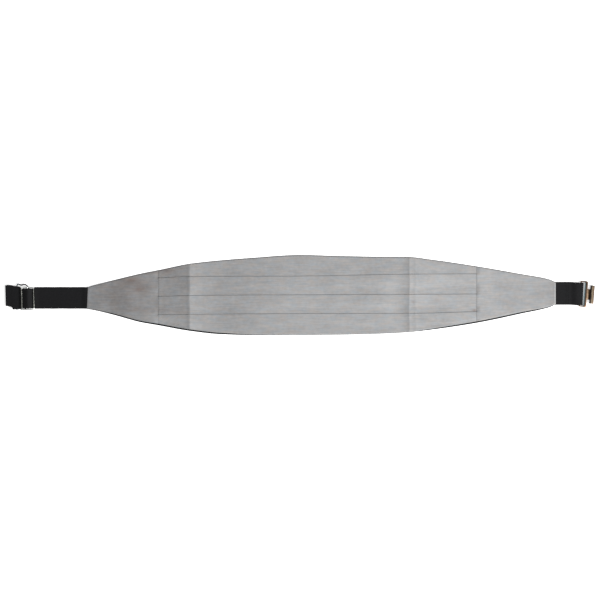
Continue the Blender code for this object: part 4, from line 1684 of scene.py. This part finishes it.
fold_start = LEAF_END - LEAF_FOLD - SHEET / 2
leaf = sheet_plane("leaf", LEAF_START, fold_start, LEAF_HALF)
for v in (NECK_HALF, -NECK_HALF):
    cut_across((0, v, 0), (0, 1, 0))
pick(leaf, "edges", lambda c: c.x > fold_start - PICK_MARGIN)
bpy.ops.mesh.spin(
    steps=8,
    angle=-math.pi,
    center=(fold_start * MM, 0.0, LEAF_FOLD * MM),
    axis=(0.0, 1.0, 0.0),
)
bpy.ops.mesh.extrude_edges_move(
    TRANSFORM_OT_translate={"value": ((LEAF_START - fold_start) * MM, 0.0, 0.0)}
)
bpy.ops.object.mode_set(mode="OBJECT")

select_only(hook)
leaf.select_set(True)
bpy.ops.object.join()
bpy.ops.object.mode_set(mode="EDIT")
bpy.ops.mesh.select_all(action="SELECT")
bpy.ops.mesh.remove_doubles(threshold=MERGE * MM)
bpy.ops.mesh.normals_make_consistent(inside=False)
bpy.ops.object.mode_set(mode="OBJECT")
give_wall(hook, SHEET)
rims = hook.modifiers.new("rims", "BEVEL")
rims.width = RIM * MM
rims.segments = 3
rims.limit_method = "ANGLE"
rims.angle_limit = RIM_ANGLE
bpy.ops.object.modifier_apply(modifier=rims.name)
hook_tilt = math.asin((HOOK_AXIS.z - SHEET / 2 - TIP_ROOM) / fold_start)
hook_place = (
    Matrix.Translation(HOOK_AXIS * MM)
    @ Matrix.Rotation(HOOK_TURN, 4, "Z")
    @ Matrix.Rotation(hook_tilt, 4, "Y")
)
settle(hook, hook_place, BRASS, "hook", "hook")
print("hook:", len(hook.data.polygons), "faces")

# %% [markdown]
# ## Stitches
#
# Lockstitch shows as a row of short, slightly sunken dashes of thread. One stitch is a small ball
# drawn out to a capsule, and every row is one mesh of them. A row across each narrow end of the
# shell catches the elastic, and two rows sew the right strap back on itself. The thread is
# polyester, and its twist shows from near by as fine slanting bands.

# %% Stitch rows
STITCH_LENGTH = 2.1
STITCH_PITCH = 2.7
THREAD = 0.36
TWIST_SCALE = 700.0  # puts the bands of the twist 0.45 mm apart
TWIST_HIGHLIGHT = 1.35  # and a band is painted this much lighter along its crown, as a painted highlight
StitchRow = namedtuple("StitchRow", "name start end thread slot")


def thread_material(name, colour, gloss):
    made, tree = new_material(name)
    place = add_node(tree, "ShaderNodeTexCoord")
    twist = add_node(
        tree,
        "ShaderNodeTexWave",
        {"Vector": place.outputs["Object"], "Scale": TWIST_SCALE, "Distortion": 1.0},
        bands_direction="DIAGONAL",
    )
    light = (*(min(c * TWIST_HIGHLIGHT, 1.0) for c in hex_colour(colour)[:3]), 1.0)
    # painted highlight along the crowns of the twist
    painted_crown_light = add_node(
        tree,
        "ShaderNodeMix",
        {"Factor": twist.outputs["Fac"], "A": hex_colour(colour), "B": light},
        data_type="RGBA",
    )
    shader = add_node(
        tree,
        "ShaderNodeBsdfPrincipled",
        {
            "Base Color": painted_crown_light.outputs["Result"],
            "Roughness": 0.55,
            "Specular IOR Level": gloss,
        },
    )
    add_node(tree, "ShaderNodeOutputMaterial", {"Surface": shader.outputs[0]})
    return made


def stitch_row(name, start, end, finish, slot):
    """A row of stitches from start to end, both (x, y, z) in millimetres on the cloth's face."""
    start, end = Vector(start), Vector(end)
    count = max(1, round((end - start).length / STITCH_PITCH))
    along = (end - start).normalized()
    built = bmesh.new()
    for k in range(count):
        middle = start.lerp(end, (k + 0.5) / count)
        turn = along.to_track_quat("Z", "Y").to_matrix().to_4x4()
        part = bmesh.ops.create_uvsphere(
            built,
            u_segments=6,
            v_segments=6,
            radius=THREAD / 2 * MM,
            matrix=Matrix.Translation(middle * MM) @ turn,
        )
        for vert in part["verts"]:
            away = (vert.co / MM - middle).dot(along)
            shift = math.copysign(STITCH_LENGTH / 2 - THREAD / 2, away) if abs(away) > 0.02 else 0.0
            vert.co += along * shift * MM
    for face in built.faces:
        face.smooth = True
    piece = piece_from(built, name, finish)
    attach(piece, "garment")


GREY_THREAD = thread_material("grey polyester thread", "#7c7d80", 0.5)
BLACK_THREAD = thread_material("black polyester thread", "#060607", 0.1)
strap_face = STRAP_LOW + ELASTIC_WALL / 2 + THREAD / 4
cover_face = LOW + STRAP_LIFT + SATIN_WALL / 2 + THREAD / 6
ROWS = []
for number, station in enumerate((398.6, 402.2), start=1):
    ends = (station, 18.2, strap_face), (station, -13.4, strap_face)
    ROWS.append(StitchRow(f"return_stitches_{number}", *ends, BLACK_THREAD, "elastic"))
for side, station, lean, upper, lower in (
    ("left", OUTLINE[0].station + 3.2, LEFT_SLANT, 10.8, -19.6),
    ("right", OUTLINE[-1].station - 3.2, 0.0, 18.6, -13.2),
):
    ends = (station + lean, upper, cover_face), (station, lower, cover_face)
    ROWS.append(StitchRow(f"end_stitches_{side}", *ends, GREY_THREAD, "shell_cloth"))
for row in ROWS:
    stitch_row(*row)
print(len(ROWS), "rows of stitches, each stitch", STITCH_LENGTH, "mm")
